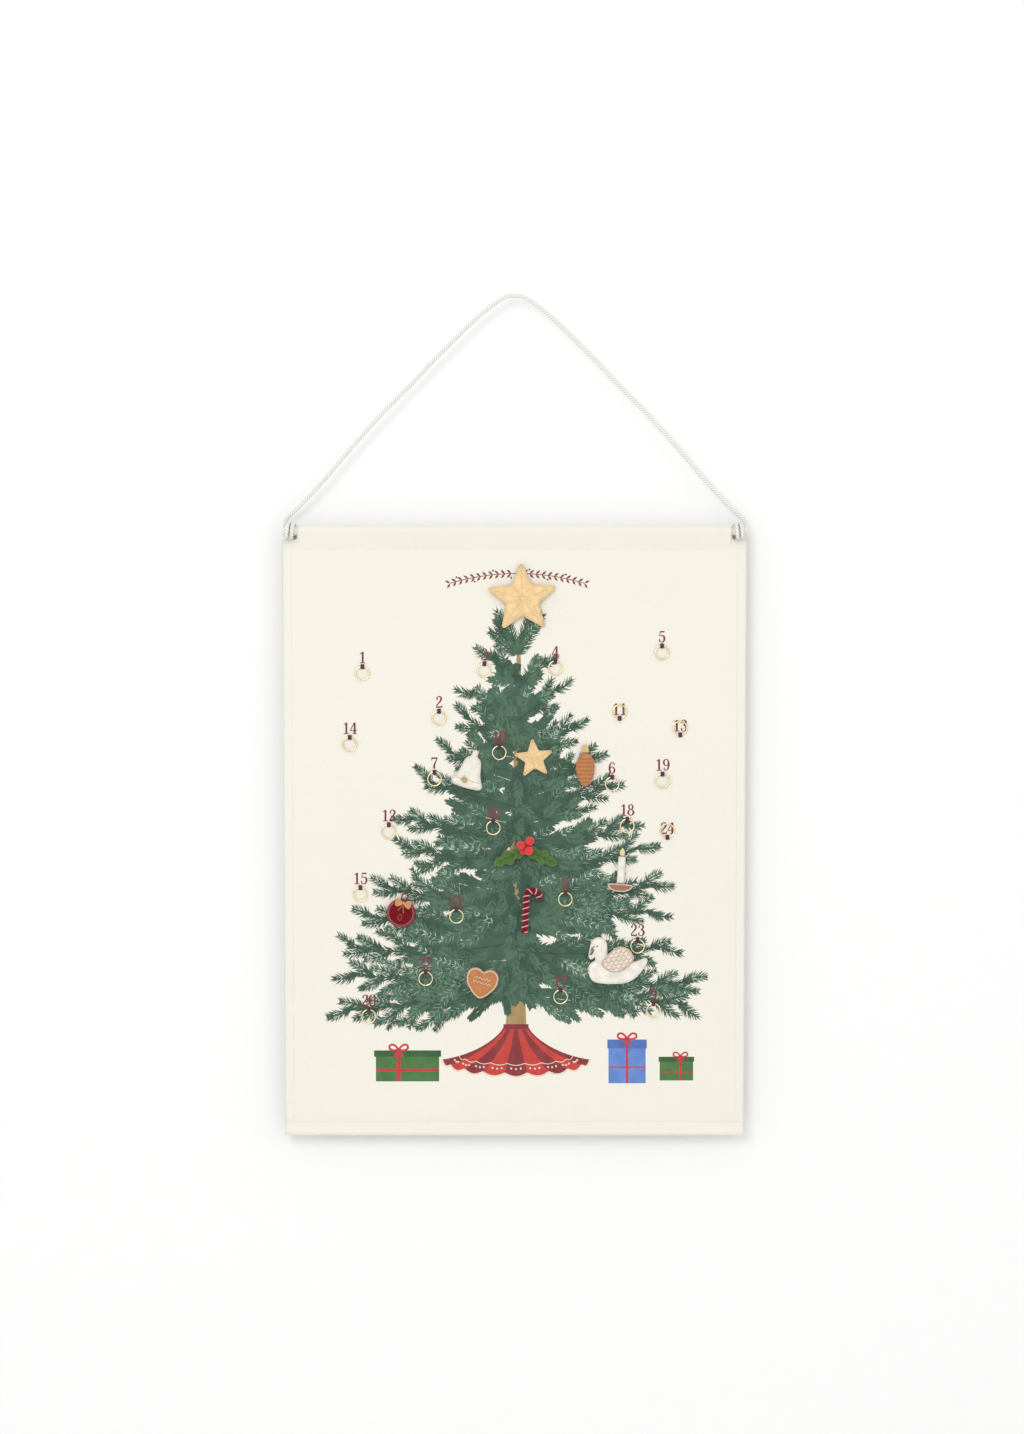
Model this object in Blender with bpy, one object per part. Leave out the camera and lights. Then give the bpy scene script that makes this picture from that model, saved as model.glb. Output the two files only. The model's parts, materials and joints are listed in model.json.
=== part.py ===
"""A fabric wall-hanging advent calendar at its real size, in metres, +Z up.

The origin is the underside of the hanging cord at its highest point, where a nail holds it.
The front of the cloth looks along -Y, and the wall is behind it at +Y.
"""
import math

import bmesh
import bpy
import numpy as np
from mathutils import Vector

# Cloth
cloth_width = 0.500
cloth_foot_width = 0.493
cloth_height = 0.656
cloth_thickness = 0.0008
cloth_drop = 0.2439
hem_width = 0.012

# Casings and rods
top_casing_depth = 0.025
foot_casing_depth = 0.014
seam_depth = 0.003
corner_notch = 0.0165
top_rod_diameter = 0.010
foot_rod_diameter = 0.006
rod_play = 0.0004
rod_end_inset = 0.0005
foot_rod_inset = 0.004
rod_chamfer = 0.0006
casing_steps = 16
rod_sides = 24

# Clearances
seat_gap = 0.0003
sink = 0.0002

# Hanging cord
cord_diameter = 0.0045
cord_point_spacing = 0.0108
wrap_turns = 2
wrap_gap = 0.0009
wrap_side_gap = 0.0005
wrap_points_per_turn = 24
wrap_lead = 0.005
wrap_tail = 0.010
cord_bevel_level = 2
wrap_bevel_level = 1
gap_samples_per_diameter = 8
gap_skip_diameters = 3
# The cord's right half from the nail to the wrap: sideways, down and back, each as a share of its own reach
cord_route_shares = (
    (0.000, 0.000, 0.00),
    (0.041, 0.006, 0.00),
    (0.110, 0.052, 0.00),
    (0.189, 0.121, 0.00),
    (0.264, 0.196, 0.00),
    (0.358, 0.291, 0.00),
    (0.431, 0.372, 0.00),
    (0.583, 0.529, 0.00),
    (0.709, 0.672, 0.00),
    (0.829, 0.815, 0.02),
    (0.930, 0.925, 0.35),
    (0.968, 0.960, 0.70),
    (0.992, 0.983, 0.93),
    (1.000, 1.000, 1.00),
)

# Rings and the thread loops that hold them
ring_diameter = 0.016
ring_wire = 0.0015
ring_gap = 0.0002
ring_sides = 18
ring_wire_sides = 6
loop_width = 0.0036
loop_height = 0.0050
loop_thread = 0.00035
loop_clearance = 0.0004
loop_steps = 6
# Where each thread loop is sewn: across from the middle as a share of the cloth's width there,
# and down from the top edge as a share of cloth_height
ring_place_shares = {
    1: (-0.328, 0.232),
    2: (-0.163, 0.305),
    3: (-0.065, 0.227),
    4: (0.088, 0.223),
    5: (0.318, 0.198),
    6: (0.211, 0.413),
    7: (-0.173, 0.405),
    8: (0.110, 0.602),
    9: (0.302, 0.784),
    10: (-0.033, 0.362),
    11: (0.227, 0.317),
    12: (-0.272, 0.491),
    13: (0.358, 0.344),
    14: (-0.356, 0.348),
    15: (-0.334, 0.594),
    16: (-0.046, 0.485),
    17: (0.100, 0.762),
    18: (0.244, 0.482),
    19: (0.320, 0.408),
    20: (-0.317, 0.794),
    21: (-0.126, 0.630),
    22: (-0.193, 0.732),
    23: (0.267, 0.679),
    24: (0.331, 0.512),
}
# These rings are turned up and lie over their numbers
rings_turned_up = (11, 13, 24)

# Fastener dots: loop side sewn to the cloth, hook side sewn to the ornament
loop_dot_thickness = 0.0008
hook_dot_thickness = 0.0010
dot_sides = 16

# Stuffed felt ornaments
felt_side = 0.0020
felt_crown = 0.0035
rim_steps = 3
corner_steps = 3
small_corner_steps = 2
outline_steps_per_point = 2
sharp_edge_deg = 35
thin_felt = 0.0012

# Both stars
star_points = 5
star_plateau_share = 0.3

# Star topper
topper_radius = 0.0385
topper_valley = 0.0180
topper_tip_round = 0.0025
topper_tilt_deg = -2
topper_dot = 0.016

# Small star
small_star_radius = 0.0236
small_star_valley = 0.0102
small_star_tip_round = 0.0016
small_star_tilt_deg = -5
small_star_crown = 0.0028
small_star_dot = 0.010

# Bell
bell_rim_width = 0.034
bell_height = 0.040
bell_tilt_deg = 16
bell_clapper_diameter = 0.007
bell_clapper_across = -0.0035
bell_clapper_rise = 0.0065
bell_bottom_sag = 0.0010
bell_dot = 0.012
bell_plateau_share = 0.7
clapper_plateau_share = 0.6

# Pinecone
cone_width = 0.0198
cone_height = 0.036
cone_cap_width = 0.0085
cone_cap_height = 0.0085
cone_cap_taper_share = 0.6
cone_egg_share = 0.15
cone_points = 28
cone_dot = 0.010
cone_plateau_share = 0.45
cone_cap_plateau_share = 0.6

# Holly
leaf_length = 0.0375
leaf_width = 0.0185
leaf_root = 0.0014
leaf_droop_deg = 26
leaf_spike_round = 0.0007
leaf_side = 0.0014
leaf_crown = 0.0010
berry_diameter = 0.0090
berry_spread = 0.0062
berry_first_deg = 55
berry_cluster_across = 0.0010
berry_cluster_rise = 0.0039
berry_pad_diameter = 0.015
berry_pad_rise = 0.0015
berry_sides = 10
berry_bands = 6
berry_count = 3
leaf_plateau_share = 0.8
holly_dot = 0.010

# Candy cane
cane_thickness = 0.0070
cane_stem = 0.039
cane_hook_radius = 0.0068
cane_hook_turn_deg = 200
cane_tilt_deg = 3
cane_end_round = 0.0018
cane_end_share = 0.6
cane_arc_steps = 14
cane_bevel_level = 2
cane_stem_steps = 6
cane_dot = 0.006

# Bauble
bauble_diameter = 0.0305
bow_width = 0.0140
bow_height = 0.0075
bow_rise = 0.0112
bow_corner = 0.0008
bow_side = 0.0008
bow_crown = 0.0012
bauble_tilt_deg = 14
bauble_points = 32
bauble_loop_width = 0.0060
bauble_loop_height = 0.0120
bauble_loop_cord = 0.0014
bauble_loop_sides = 14
bauble_loop_cord_sides = 6
bauble_dot = 0.012
bauble_plateau_share = 0.75
bow_plateau_share = 0.7

# Heart
heart_width = 0.0355
heart_height = 0.0330
heart_tilt_deg = 10
heart_points = 40
heart_dot = 0.012
heart_plateau_share = 0.72

# Swan
swan_width = 0.0640
swan_height = 0.0500
swan_rim_inset = 0.0010
swan_crown = 0.0016
wing_width = 0.0280
wing_height = 0.0226
wing_across = -0.0040
wing_rise = 0.0019
wing_side = 0.0008
wing_crown = 0.0014
swan_dot = 0.014
swan_dot_drop = 0.010
wing_plateau_share = 0.75

# Candle
candle_width = 0.0086
candle_height = 0.0290
candle_tilt_deg = 3
candle_corner = 0.0012
flame_width = 0.0056
flame_height = 0.0092
flame_points = 16
dish_width = 0.0290
dish_height = 0.0088
dish_points = 20
candle_dot = 0.007
candle_plateau_share = 0.7
flame_plateau_share = 0.6
dish_plateau_share = 0.75

# Middle of each ornament, in the same shares as the rings
ornament_place_shares = {
    "star_topper": (0.017, 0.121),
    "small_star": (0.042, 0.383),
    "bell": (-0.094, 0.399),
    "pinecone": (0.153, 0.401),
    "holly": (0.024, 0.531),
    "candy_cane": (0.024, 0.637),
    "bauble": (-0.246, 0.633),
    "heart": (-0.071, 0.750),
    "swan": (0.224, 0.713),
    "candle": (0.231, 0.565),
}

# Outlines as shares of half the width and of the height, right side only or going round
bell_side_shares = (
    (1.00, 0.00), (0.97, 0.09), (0.74, 0.20), (0.58, 0.42), (0.47, 0.64), (0.26, 0.80), (0.17, 0.98),
)
leaf_side_shares = ((0.00, 0.22), (0.17, 0.78), (0.34, 0.52), (0.52, 1.00), (0.68, 0.50), (0.84, 0.60))
swan_outline_shares = (
    (0.10, 0.17), (0.24, 0.04), (0.44, 0.00), (0.66, 0.03), (0.84, 0.17), (0.95, 0.36), (1.00, 0.54),
    (0.90, 0.49), (0.78, 0.44), (0.62, 0.47), (0.48, 0.46), (0.37, 0.43), (0.32, 0.54), (0.34, 0.70),
    (0.34, 0.86), (0.26, 0.98), (0.14, 0.97), (0.06, 0.86), (0.01, 0.72), (0.07, 0.68), (0.17, 0.72),
    (0.16, 0.58), (0.09, 0.46), (0.04, 0.32),
)
wing_outline_shares = (
    (0.00, 0.30), (0.14, 0.08), (0.38, 0.00), (0.62, 0.06), (0.84, 0.26), (1.00, 0.56), (0.86, 0.66),
    (0.80, 0.86), (0.56, 1.00), (0.30, 0.92), (0.10, 0.66),
)
bow_outline_shares = (
    (0.00, -0.22), (0.35, -0.75), (0.85, -1.00), (1.00, -0.30), (1.00, 0.40), (0.80, 1.00), (0.35, 0.70),
    (0.00, 0.26), (-0.35, 0.70), (-0.80, 1.00), (-1.00, 0.40), (-1.00, -0.30), (-0.85, -1.00), (-0.35, -0.75),
)

# Tilt of each ornament, clockwise as seen from the front
ornament_tilts_deg = {
    "star_topper": topper_tilt_deg,
    "small_star": small_star_tilt_deg,
    "bell": bell_tilt_deg,
    "candy_cane": cane_tilt_deg,
    "bauble": bauble_tilt_deg,
    "heart": heart_tilt_deg,
    "candle": candle_tilt_deg,
}

# Each ornament's fastener dot: diameter, and place across and up from the ornament's middle
fastener_dots = {
    "star_topper": (topper_dot, 0, 0),
    "small_star": (small_star_dot, 0, 0),
    "bell": (bell_dot, 0, 0),
    "pinecone": (cone_dot, 0, 0),
    "holly": (holly_dot, 0, 0),
    "candy_cane": (cane_dot, 0, 0),
    "bauble": (bauble_dot, 0, 0),
    "heart": (heart_dot, 0, 0),
    "swan": (swan_dot, 0, -swan_dot_drop),
    "candle": (candle_dot, 0, 0),
}

# Colours
canvas_cream = (0.90, 0.87, 0.80)
cord_cream = (0.90, 0.88, 0.80)
rod_wood = (0.70, 0.52, 0.32)
brass = (0.78, 0.66, 0.38)
felt_gold = (0.86, 0.62, 0.33)
felt_ivory = (0.89, 0.85, 0.76)
felt_gilt = (0.70, 0.50, 0.20)
felt_brown = (0.50, 0.24, 0.09)
felt_leaf = (0.09, 0.21, 0.05)
felt_berry = (0.80, 0.05, 0.07)
felt_cane = (0.45, 0.03, 0.06)
felt_wine = (0.30, 0.01, 0.03)
felt_wing = (0.80, 0.68, 0.58)
felt_flame = (0.85, 0.72, 0.35)
felt_dish = (0.42, 0.17, 0.10)
hook_white = (0.85, 0.85, 0.82)
cloth_roughness = 0.9
wood_roughness = 0.6
brass_roughness = 0.3

# Heights and depths worked out from the sizes above
cord_radius = cord_diameter / 2
cloth_front = -cloth_thickness / 2
cloth_back = cloth_thickness / 2
top_edge = -cloth_drop
foot_edge = top_edge - cloth_height
top_seam = top_edge - top_casing_depth
foot_seam = foot_edge + foot_casing_depth
top_rod_radius = top_rod_diameter / 2
foot_rod_radius = foot_rod_diameter / 2
top_rod_height = top_edge - cloth_thickness - rod_play - top_rod_radius
foot_rod_height = foot_edge + cloth_thickness + rod_play + foot_rod_radius
wrap_radius = top_rod_radius + seat_gap + cord_radius
wrap_pitch = cord_diameter + wrap_gap
top_casing_half = cloth_width / 2 - corner_notch
wrap_inner_place = top_casing_half + wrap_side_gap + cord_radius
wrap_outer_place = wrap_inner_place + wrap_turns * wrap_pitch
flap_top = top_rod_height - wrap_radius - cord_radius - seat_gap
ring_plane = cloth_front - ring_gap - ring_wire / 2
ring_radius = (ring_diameter - ring_wire) / 2
ornament_back = cloth_front - loop_dot_thickness - hook_dot_thickness - 2 * seat_gap


def half_width(height):
    """Half the cloth's width at a height, because the cloth narrows a little to its foot."""
    share = (top_edge - height) / cloth_height
    return (cloth_width + (cloth_foot_width - cloth_width) * share) / 2


def ornament_point(name, across, up):
    """Where a point of an ornament lies on the cloth, after the ornament's tilt."""
    middle_across, middle_up = place_on_cloth(ornament_place_shares[name])
    tilt = math.radians(ornament_tilts_deg.get(name, 0))
    turned_across = across * math.cos(tilt) + up * math.sin(tilt)
    turned_up = up * math.cos(tilt) - across * math.sin(tilt)
    return middle_across + turned_across, middle_up + turned_up


def place_on_cloth(shares):
    """Across and up position of a pair of shares: of the cloth's width at that height, and of its height."""
    across, down = shares
    up = top_edge - down * cloth_height
    return across * 2 * half_width(up), up


def clear_scene():
    for old in list(bpy.data.objects):
        bpy.data.objects.remove(old, do_unlink=True)


def finish(name, colour, roughness, metallic=0.0):
    material = bpy.data.materials.new(name)
    material.use_nodes = True
    shader = material.node_tree.nodes["Principled BSDF"]
    shader.inputs["Base Color"].default_value = (*colour, 1)
    shader.inputs["Roughness"].default_value = roughness
    shader.inputs["Metallic"].default_value = metallic
    return material


def add_object(name, data, colour, roughness=cloth_roughness, metallic=0.0, parent=None):
    piece = bpy.data.objects.new(name, data)
    bpy.context.scene.collection.objects.link(piece)
    if not data.materials:
        data.materials.append(finish(name, colour, roughness, metallic))
    piece.parent = parent
    return piece


def add_empty(name, place, tilt_deg=0):
    """A carrier for an ornament's pieces: they are modelled round it, looking along -Y."""
    empty = bpy.data.objects.new(name, None)
    bpy.context.scene.collection.objects.link(empty)
    empty.location = place
    empty.rotation_euler.y = math.radians(tilt_deg)
    return empty


def finished_mesh(bm, name):
    bmesh.ops.recalc_face_normals(bm, faces=bm.faces)
    mesh = bpy.data.meshes.new(name)
    bm.to_mesh(mesh)
    bm.free()
    mesh.shade_smooth()
    mesh.set_sharp_from_angle(angle=math.radians(sharp_edge_deg))
    return mesh


def join_rings(bm, lower, upper):
    """Quads between two closed loops of vertices with equal counts."""
    for this in range(len(lower)):
        after = (this + 1) % len(lower)
        bm.faces.new((lower[this], lower[after], upper[after], upper[this]))


def round_corners(corners, radius, steps):
    """A closed outline with each corner replaced by an arc, no wider than half its shorter side."""
    outline = []
    count = len(corners)
    for this in range(count):
        corner = Vector(corners[this])
        back = Vector(corners[this - 1]) - corner
        ahead = Vector(corners[(this + 1) % count]) - corner
        half_angle = back.angle(ahead) / 2
        reach = min(radius / math.tan(half_angle), back.length / 2, ahead.length / 2)
        arc_radius = reach * math.tan(half_angle)
        inwards = (back.normalized() + ahead.normalized()).normalized()
        middle = corner + inwards * arc_radius / math.sin(half_angle)
        start = corner + back.normalized() * reach - middle
        end = corner + ahead.normalized() * reach - middle
        turn = math.atan2(start.x * end.y - start.y * end.x, start.dot(end))
        for step in range(steps + 1):
            angle = math.atan2(start.y, start.x) + turn * step / steps
            outline.append((middle.x + arc_radius * math.cos(angle), middle.y + arc_radius * math.sin(angle)))
    return outline


def smooth_points(points, per_span, closed):
    """Catmull-Rom curve through points of any dimension."""
    points = np.array(points, dtype=float)
    count = len(points)
    spans = count if closed else count - 1
    curve = []
    for span in range(spans):
        if closed:
            p0, p1, p2, p3 = (points[(span + offset) % count] for offset in (-1, 0, 1, 2))
        else:
            p0, p1, p2, p3 = (points[min(max(span + offset, 0), count - 1)] for offset in (-1, 0, 1, 2))
        for step in range(per_span):
            t = step / per_span
            curve.append(((2 * p1) + (p2 - p0) * t + (2 * p0 - 5 * p1 + 4 * p2 - p3) * t ** 2
                          + (3 * p1 - p0 - 3 * p2 + p3) * t ** 3) / 2)
    if not closed:
        curve.append(points[-1])
    return np.array(curve)


def evenly_spaced(curve, spacing):
    """Points along a polyline at equal distances close to the spacing asked for."""
    steps = np.linalg.norm(np.diff(curve, axis=0), axis=1)
    run = np.concatenate(([0], np.cumsum(steps)))
    wanted = np.linspace(0, run[-1], max(2, round(run[-1] / spacing)) + 1)
    return np.stack([np.interp(wanted, run, curve[:, axis]) for axis in range(curve.shape[1])], axis=1)


def tube(name, points, diameter, colour, bevel_level, radii_shares=None, parent=None):
    """A cord or a rounded bar: a straight-sided curve with a round bevel and filled ends."""
    curve = bpy.data.curves.new(name, "CURVE")
    curve.dimensions = "3D"
    curve.bevel_depth = diameter / 2
    curve.bevel_resolution = bevel_level
    curve.use_fill_caps = True
    curve.twist_mode = "MINIMUM"
    spline = curve.splines.new("POLY")
    spline.points.add(len(points) - 1)
    spline.points.foreach_set("co", np.column_stack([points, np.ones(len(points))]).ravel())
    if radii_shares is not None:
        spline.points.foreach_set("radius", radii_shares)
    return add_object(name, curve, colour, parent=parent)


def padded_mesh(name, outline, middle, plateau_share, back, side=felt_side, crown=felt_crown):
    """Stuffed felt: a flat back, an upright side, and a front that rises from the rim to a plateau.

    Each loop of the rim is the outline drawn in towards its middle, on a quarter of an ellipse.
    """
    bm = bmesh.new()
    centre = Vector(middle)
    loops = [[bm.verts.new((x, back, z)) for x, z in outline]]
    for step in range(rim_steps + 1):
        angle = math.pi / 2 * step / rim_steps
        scale = 1 - (1 - plateau_share) * (1 - math.cos(angle))
        depth = back - side - crown * math.sin(angle)
        drawn_in = [centre + (Vector(point) - centre) * scale for point in outline]
        loops.append([bm.verts.new((point.x, depth, point.y)) for point in drawn_in])
    for lower, upper in zip(loops, loops[1:]):
        join_rings(bm, lower, upper)
    bm.faces.new(loops[0])
    bm.faces.new(loops[-1])
    return finished_mesh(bm, name)


def disc_mesh(name, diameter, back, thickness, across=0.0, up=0.0):
    """A flat round dot whose back lies at the given depth."""
    bm = bmesh.new()
    circle = [2 * math.pi * side / dot_sides for side in range(dot_sides)]
    radius = diameter / 2
    loops = []
    for depth in (back, back - thickness):
        loop = [(across + radius * math.cos(angle), depth, up + radius * math.sin(angle)) for angle in circle]
        loops.append([bm.verts.new(point) for point in loop])
    join_rings(bm, *loops)
    bm.faces.new(loops[0])
    bm.faces.new(loops[1])
    return finished_mesh(bm, name)


def add_union(piece, name, parts_mesh):
    """Fuses a mesh of separate small solids into a piece."""
    helper = bpy.data.objects.new(name, parts_mesh)
    bpy.context.scene.collection.objects.link(helper)
    helper.hide_render = True
    helper.display_type = "WIRE"
    helper.parent = piece.parent
    union = piece.modifiers.new(name, "BOOLEAN")
    union.operation = "UNION"
    union.solver = "EXACT"
    union.object = helper


# Cloth panel

def panel_outline():
    """The flat cloth between its two seams, with a corner flap up each side of the top casing."""
    notch = top_casing_half + seat_gap
    top = top_seam - seat_gap
    foot = foot_seam + seat_gap
    right = [(half_width(foot), foot), (half_width(flap_top), flap_top), (notch, flap_top), (notch, top)]
    left = [(-x, z) for x, z in reversed(right)]
    return right + left


def add_thread_loop(bm, across, up):
    """A small tunnel of thread: half an elliptic tube whose feet go into the cloth."""
    outer_out = ring_gap + ring_wire + loop_clearance + loop_thread
    ends = []
    for side in (-loop_width / 2, loop_width / 2):
        outer = []
        inner = []
        for step in range(loop_steps + 1):
            angle = math.pi * step / loop_steps
            for points, thread in ((outer, 0), (inner, loop_thread)):
                rise = (loop_height / 2 - thread) * math.cos(angle)
                out = (outer_out - thread) * math.sin(angle)
                foot = sink if step in (0, loop_steps) else 0
                points.append(bm.verts.new((across + side, cloth_front - out + foot, up + rise)))
        ends.append(outer + inner[::-1])
    join_rings(bm, *ends)
    for end in ends:
        for step in range(loop_steps):
            bm.faces.new((end[step], end[step + 1], end[-2 - step], end[-1 - step]))


def build_cloth_panel():
    bm = bmesh.new()
    front = [bm.verts.new((x, cloth_front, z)) for x, z in panel_outline()]
    back = [bm.verts.new((x, cloth_back, z)) for x, z in panel_outline()]
    join_rings(bm, front, back)
    bm.faces.new(front)
    bm.faces.new(back)
    panel = add_object("cloth_panel", finished_mesh(bm, "cloth_panel"), canvas_cream)

    hems = bmesh.new()
    foot = foot_seam + seat_gap
    for side in (-1, 1):
        loops = []
        for depth in (cloth_back - sink, cloth_back + cloth_thickness):
            corners = [(half_width(foot), foot), (half_width(flap_top), flap_top)]
            corners += [(x - hem_width, z) for x, z in reversed(corners)]
            loops.append([hems.verts.new((side * x, depth, z)) for x, z in corners])
        join_rings(hems, *loops)
        hems.faces.new(loops[0])
        hems.faces.new(loops[1])
    add_union(panel, "side_hems", finished_mesh(hems, "side_hems"))

    loops = bmesh.new()
    for shares in ring_place_shares.values():
        add_thread_loop(loops, *place_on_cloth(shares))
    add_union(panel, "thread_loops", finished_mesh(loops, "thread_loops"))

    dots = bmesh.new()
    for name, (diameter, across, up) in fastener_dots.items():
        place = ornament_point(name, across, up)
        dot = disc_mesh(name, diameter, cloth_front + sink, loop_dot_thickness + sink, *place)
        dots.from_mesh(dot)
        bpy.data.meshes.remove(dot)
    add_union(panel, "loop_dots", finished_mesh(dots, "loop_dots"))


# Casings and rods

def teardrop(rod_radius, drop, wall, tip_half, seam_way):
    """Outline of the cloth round a rod, drawn to a tip at the seam: an arc and its two tangents."""
    radius = rod_radius + rod_play + wall
    tip_angle = math.atan2(-drop, tip_half)
    tangent = tip_angle + math.acos(radius / math.hypot(drop, tip_half))
    arc = [tangent + (math.pi - 2 * tangent) * step / casing_steps for step in range(casing_steps + 1)]
    outline = [(radius * math.cos(angle), -seam_way * radius * math.sin(angle)) for angle in arc]
    return outline + [(-tip_half, seam_way * drop), (tip_half, seam_way * drop)]


def build_casing(name, rod_radius, rod_height, seam, half_length):
    """The cloth folded round a rod, open at both ends; the seam is where its two layers meet."""
    drop = abs(rod_height - seam)
    seam_way = 1 if seam > rod_height else -1
    outer = teardrop(rod_radius, drop, cloth_thickness, cloth_thickness, seam_way)
    inner = teardrop(rod_radius, drop - seam_depth, 0, rod_play / 2, seam_way)
    bm = bmesh.new()
    loops = []
    for profile in (outer, inner):
        for end in (-half_length, half_length):
            loops.append([bm.verts.new((end, out, rod_height + up)) for out, up in profile])
    outer_left, outer_right, inner_left, inner_right = loops
    join_rings(bm, outer_left, outer_right)
    join_rings(bm, inner_left, inner_right)
    join_rings(bm, outer_left, inner_left)
    join_rings(bm, outer_right, inner_right)
    add_object(name, finished_mesh(bm, name), canvas_cream)


def build_rod(name, radius, height, half_length):
    bm = bmesh.new()
    made = bmesh.ops.create_cone(
        bm, cap_ends=True, segments=rod_sides, radius1=radius, radius2=radius, depth=2 * half_length)
    for vert in made["verts"]:
        vert.co = (vert.co.z, vert.co.x, vert.co.y + height)
    rod = add_object(name, finished_mesh(bm, name), rod_wood, wood_roughness)
    chamfer = rod.modifiers.new("end_chamfer", "BEVEL")
    chamfer.width = rod_chamfer
    chamfer.segments = 1
    chamfer.limit_method = "ANGLE"


# Hanging cord

def cord_route():
    """The whole free run: the right half and its mirror on one smooth curve, with straight ends."""
    end = top_rod_height + wrap_lead + seat_gap
    foot = end + cord_diameter
    right = [(across * wrap_outer_place, back * wrap_radius, cord_radius - down * (cord_radius - foot))
             for across, down, back in cord_route_shares]
    left = [(-x, y, z) for x, y, z in reversed(right[1:])]
    curve = smooth_points(left + right, wrap_points_per_turn, closed=False)
    curve = evenly_spaced(curve, cord_point_spacing)
    return np.vstack([(-wrap_outer_place, wrap_radius, end), curve, (wrap_outer_place, wrap_radius, end)])


def wrap_route(side):
    """Straight down to the back of the rod, turns round it towards the casing, and a straight tail."""
    turns = np.linspace(0, wrap_turns, wrap_turns * wrap_points_per_turn + 1)
    angle = -2 * np.pi * turns
    across = wrap_outer_place - wrap_pitch * turns
    helix = np.column_stack([
        side * across,
        wrap_radius * np.cos(angle),
        top_rod_height + wrap_radius * np.sin(angle),
    ])
    lead = (side * wrap_outer_place, wrap_radius, top_rod_height + wrap_lead)
    tail = (side * wrap_inner_place, wrap_radius, top_rod_height - wrap_tail)
    return np.vstack([lead, helix, tail])


def least_gap(route, diameter):
    """Smallest distance between stretches of a tube that are well apart along it."""
    curve = evenly_spaced(route, diameter / gap_samples_per_diameter)
    run = np.concatenate(([0], np.cumsum(np.linalg.norm(np.diff(curve, axis=0), axis=1))))
    apart = np.linalg.norm(curve[:, None] - curve[None], axis=2)
    far_along = np.abs(run[:, None] - run[None]) > gap_skip_diameters * diameter
    return apart[far_along].min() - diameter


def build_cord():
    route = cord_route()
    tube("hanging_cord", route, cord_diameter, cord_cream, cord_bevel_level)
    for name, side in (("cord_wrap_left", -1), ("cord_wrap_right", 1)):
        wrap = wrap_route(side)
        tube(name, wrap, cord_diameter, cord_cream, wrap_bevel_level)
        print(name, "least gap to itself", round(least_gap(wrap, cord_diameter) * 1000, 2), "mm")
    length = np.linalg.norm(np.diff(route, axis=0), axis=1).sum()
    print("hanging_cord length", round(length, 4), "m in", len(route), "points")


# Rings

def add_hoop(bm, half_width, half_height, cord, sides, cord_sides, depth, up):
    """A closed elliptic loop of round wire or cord, standing in the plane of the cloth."""
    loops = []
    for side in range(sides):
        turn = 2 * math.pi * side / sides
        middle = Vector((half_width * math.sin(turn), depth, up + half_height * math.cos(turn)))
        outward = Vector((half_height * math.sin(turn), 0, half_width * math.cos(turn))).normalized()
        loop = []
        for corner in range(cord_sides):
            angle = 2 * math.pi * (corner + 1 / 2) / cord_sides
            offset = outward * math.cos(angle) + Vector((0, math.sin(angle), 0))
            loop.append(bm.verts.new(middle + offset * cord / 2))
        loops.append(loop)
    for this in range(sides):
        join_rings(bm, loops[this], loops[(this + 1) % sides])


def build_rings():
    """Each ring's origin is the middle of its wire inside the thread loop, which it turns on."""
    bm = bmesh.new()
    add_hoop(bm, ring_radius, ring_radius, ring_wire, ring_sides, ring_wire_sides, 0, -ring_radius)
    mesh = finished_mesh(bm, "ring")
    for number, shares in ring_place_shares.items():
        ring = add_object(f"ring_{number:02d}", mesh.copy(), brass, brass_roughness, metallic=1.0)
        across, up = place_on_cloth(shares)
        ring.location = (across, ring_plane, up)
        if number in rings_turned_up:
            ring.rotation_euler.x = math.pi


# Ornaments

def star_outline(radius, valley, tip_round):
    corners = []
    for corner in range(2 * star_points):
        angle = math.pi / 2 + math.pi * corner / star_points
        reach = radius if corner % 2 == 0 else valley
        corners.append((reach * math.cos(angle), reach * math.sin(angle)))
    return round_corners(corners, tip_round, corner_steps)


def scaled(shares, half_width, height, across=0.0, up=0.0):
    return [(across + x * half_width, up + z * height) for x, z in shares]


def bell_outline():
    half = bell_rim_width / 2
    foot = -bell_height / 2
    right = scaled(bell_side_shares, half, bell_height, up=foot)
    left = [(-x, z) for x, z in reversed(right)]
    points = right + [(0, foot + bell_height)] + left + [(0, foot - bell_bottom_sag)]
    return smooth_points(points, outline_steps_per_point, closed=True)


def cone_outline():
    """An egg with its narrow end down."""
    outline = []
    for point in range(cone_points):
        angle = 2 * math.pi * point / cone_points
        across = cone_width / 2 * math.cos(angle) * (1 + cone_egg_share * math.sin(angle))
        outline.append((across, cone_height / 2 * math.sin(angle)))
    return outline


def leaf_outline(side):
    """A spiny leaf that starts beside the middle and droops outwards."""
    upper = scaled(leaf_side_shares, leaf_length, leaf_width / 2, across=leaf_root)
    lower = [(x, -z) for x, z in reversed(upper)]
    flat = upper + [(leaf_root + leaf_length, 0)] + lower
    cosine = math.cos(math.radians(leaf_droop_deg))
    sine = math.sin(math.radians(leaf_droop_deg))
    turned = [(side * (x * cosine + z * sine), z * cosine - x * sine) for x, z in flat]
    return round_corners(turned, leaf_spike_round, small_corner_steps)


def leaf_middle(side):
    droop = math.radians(leaf_droop_deg)
    reach = leaf_root + leaf_length / 2
    return side * reach * math.cos(droop), -reach * math.sin(droop)


def circle_outline(diameter, points):
    turns = [2 * math.pi * point / points for point in range(points)]
    return [(diameter / 2 * math.cos(turn), diameter / 2 * math.sin(turn)) for turn in turns]


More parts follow.
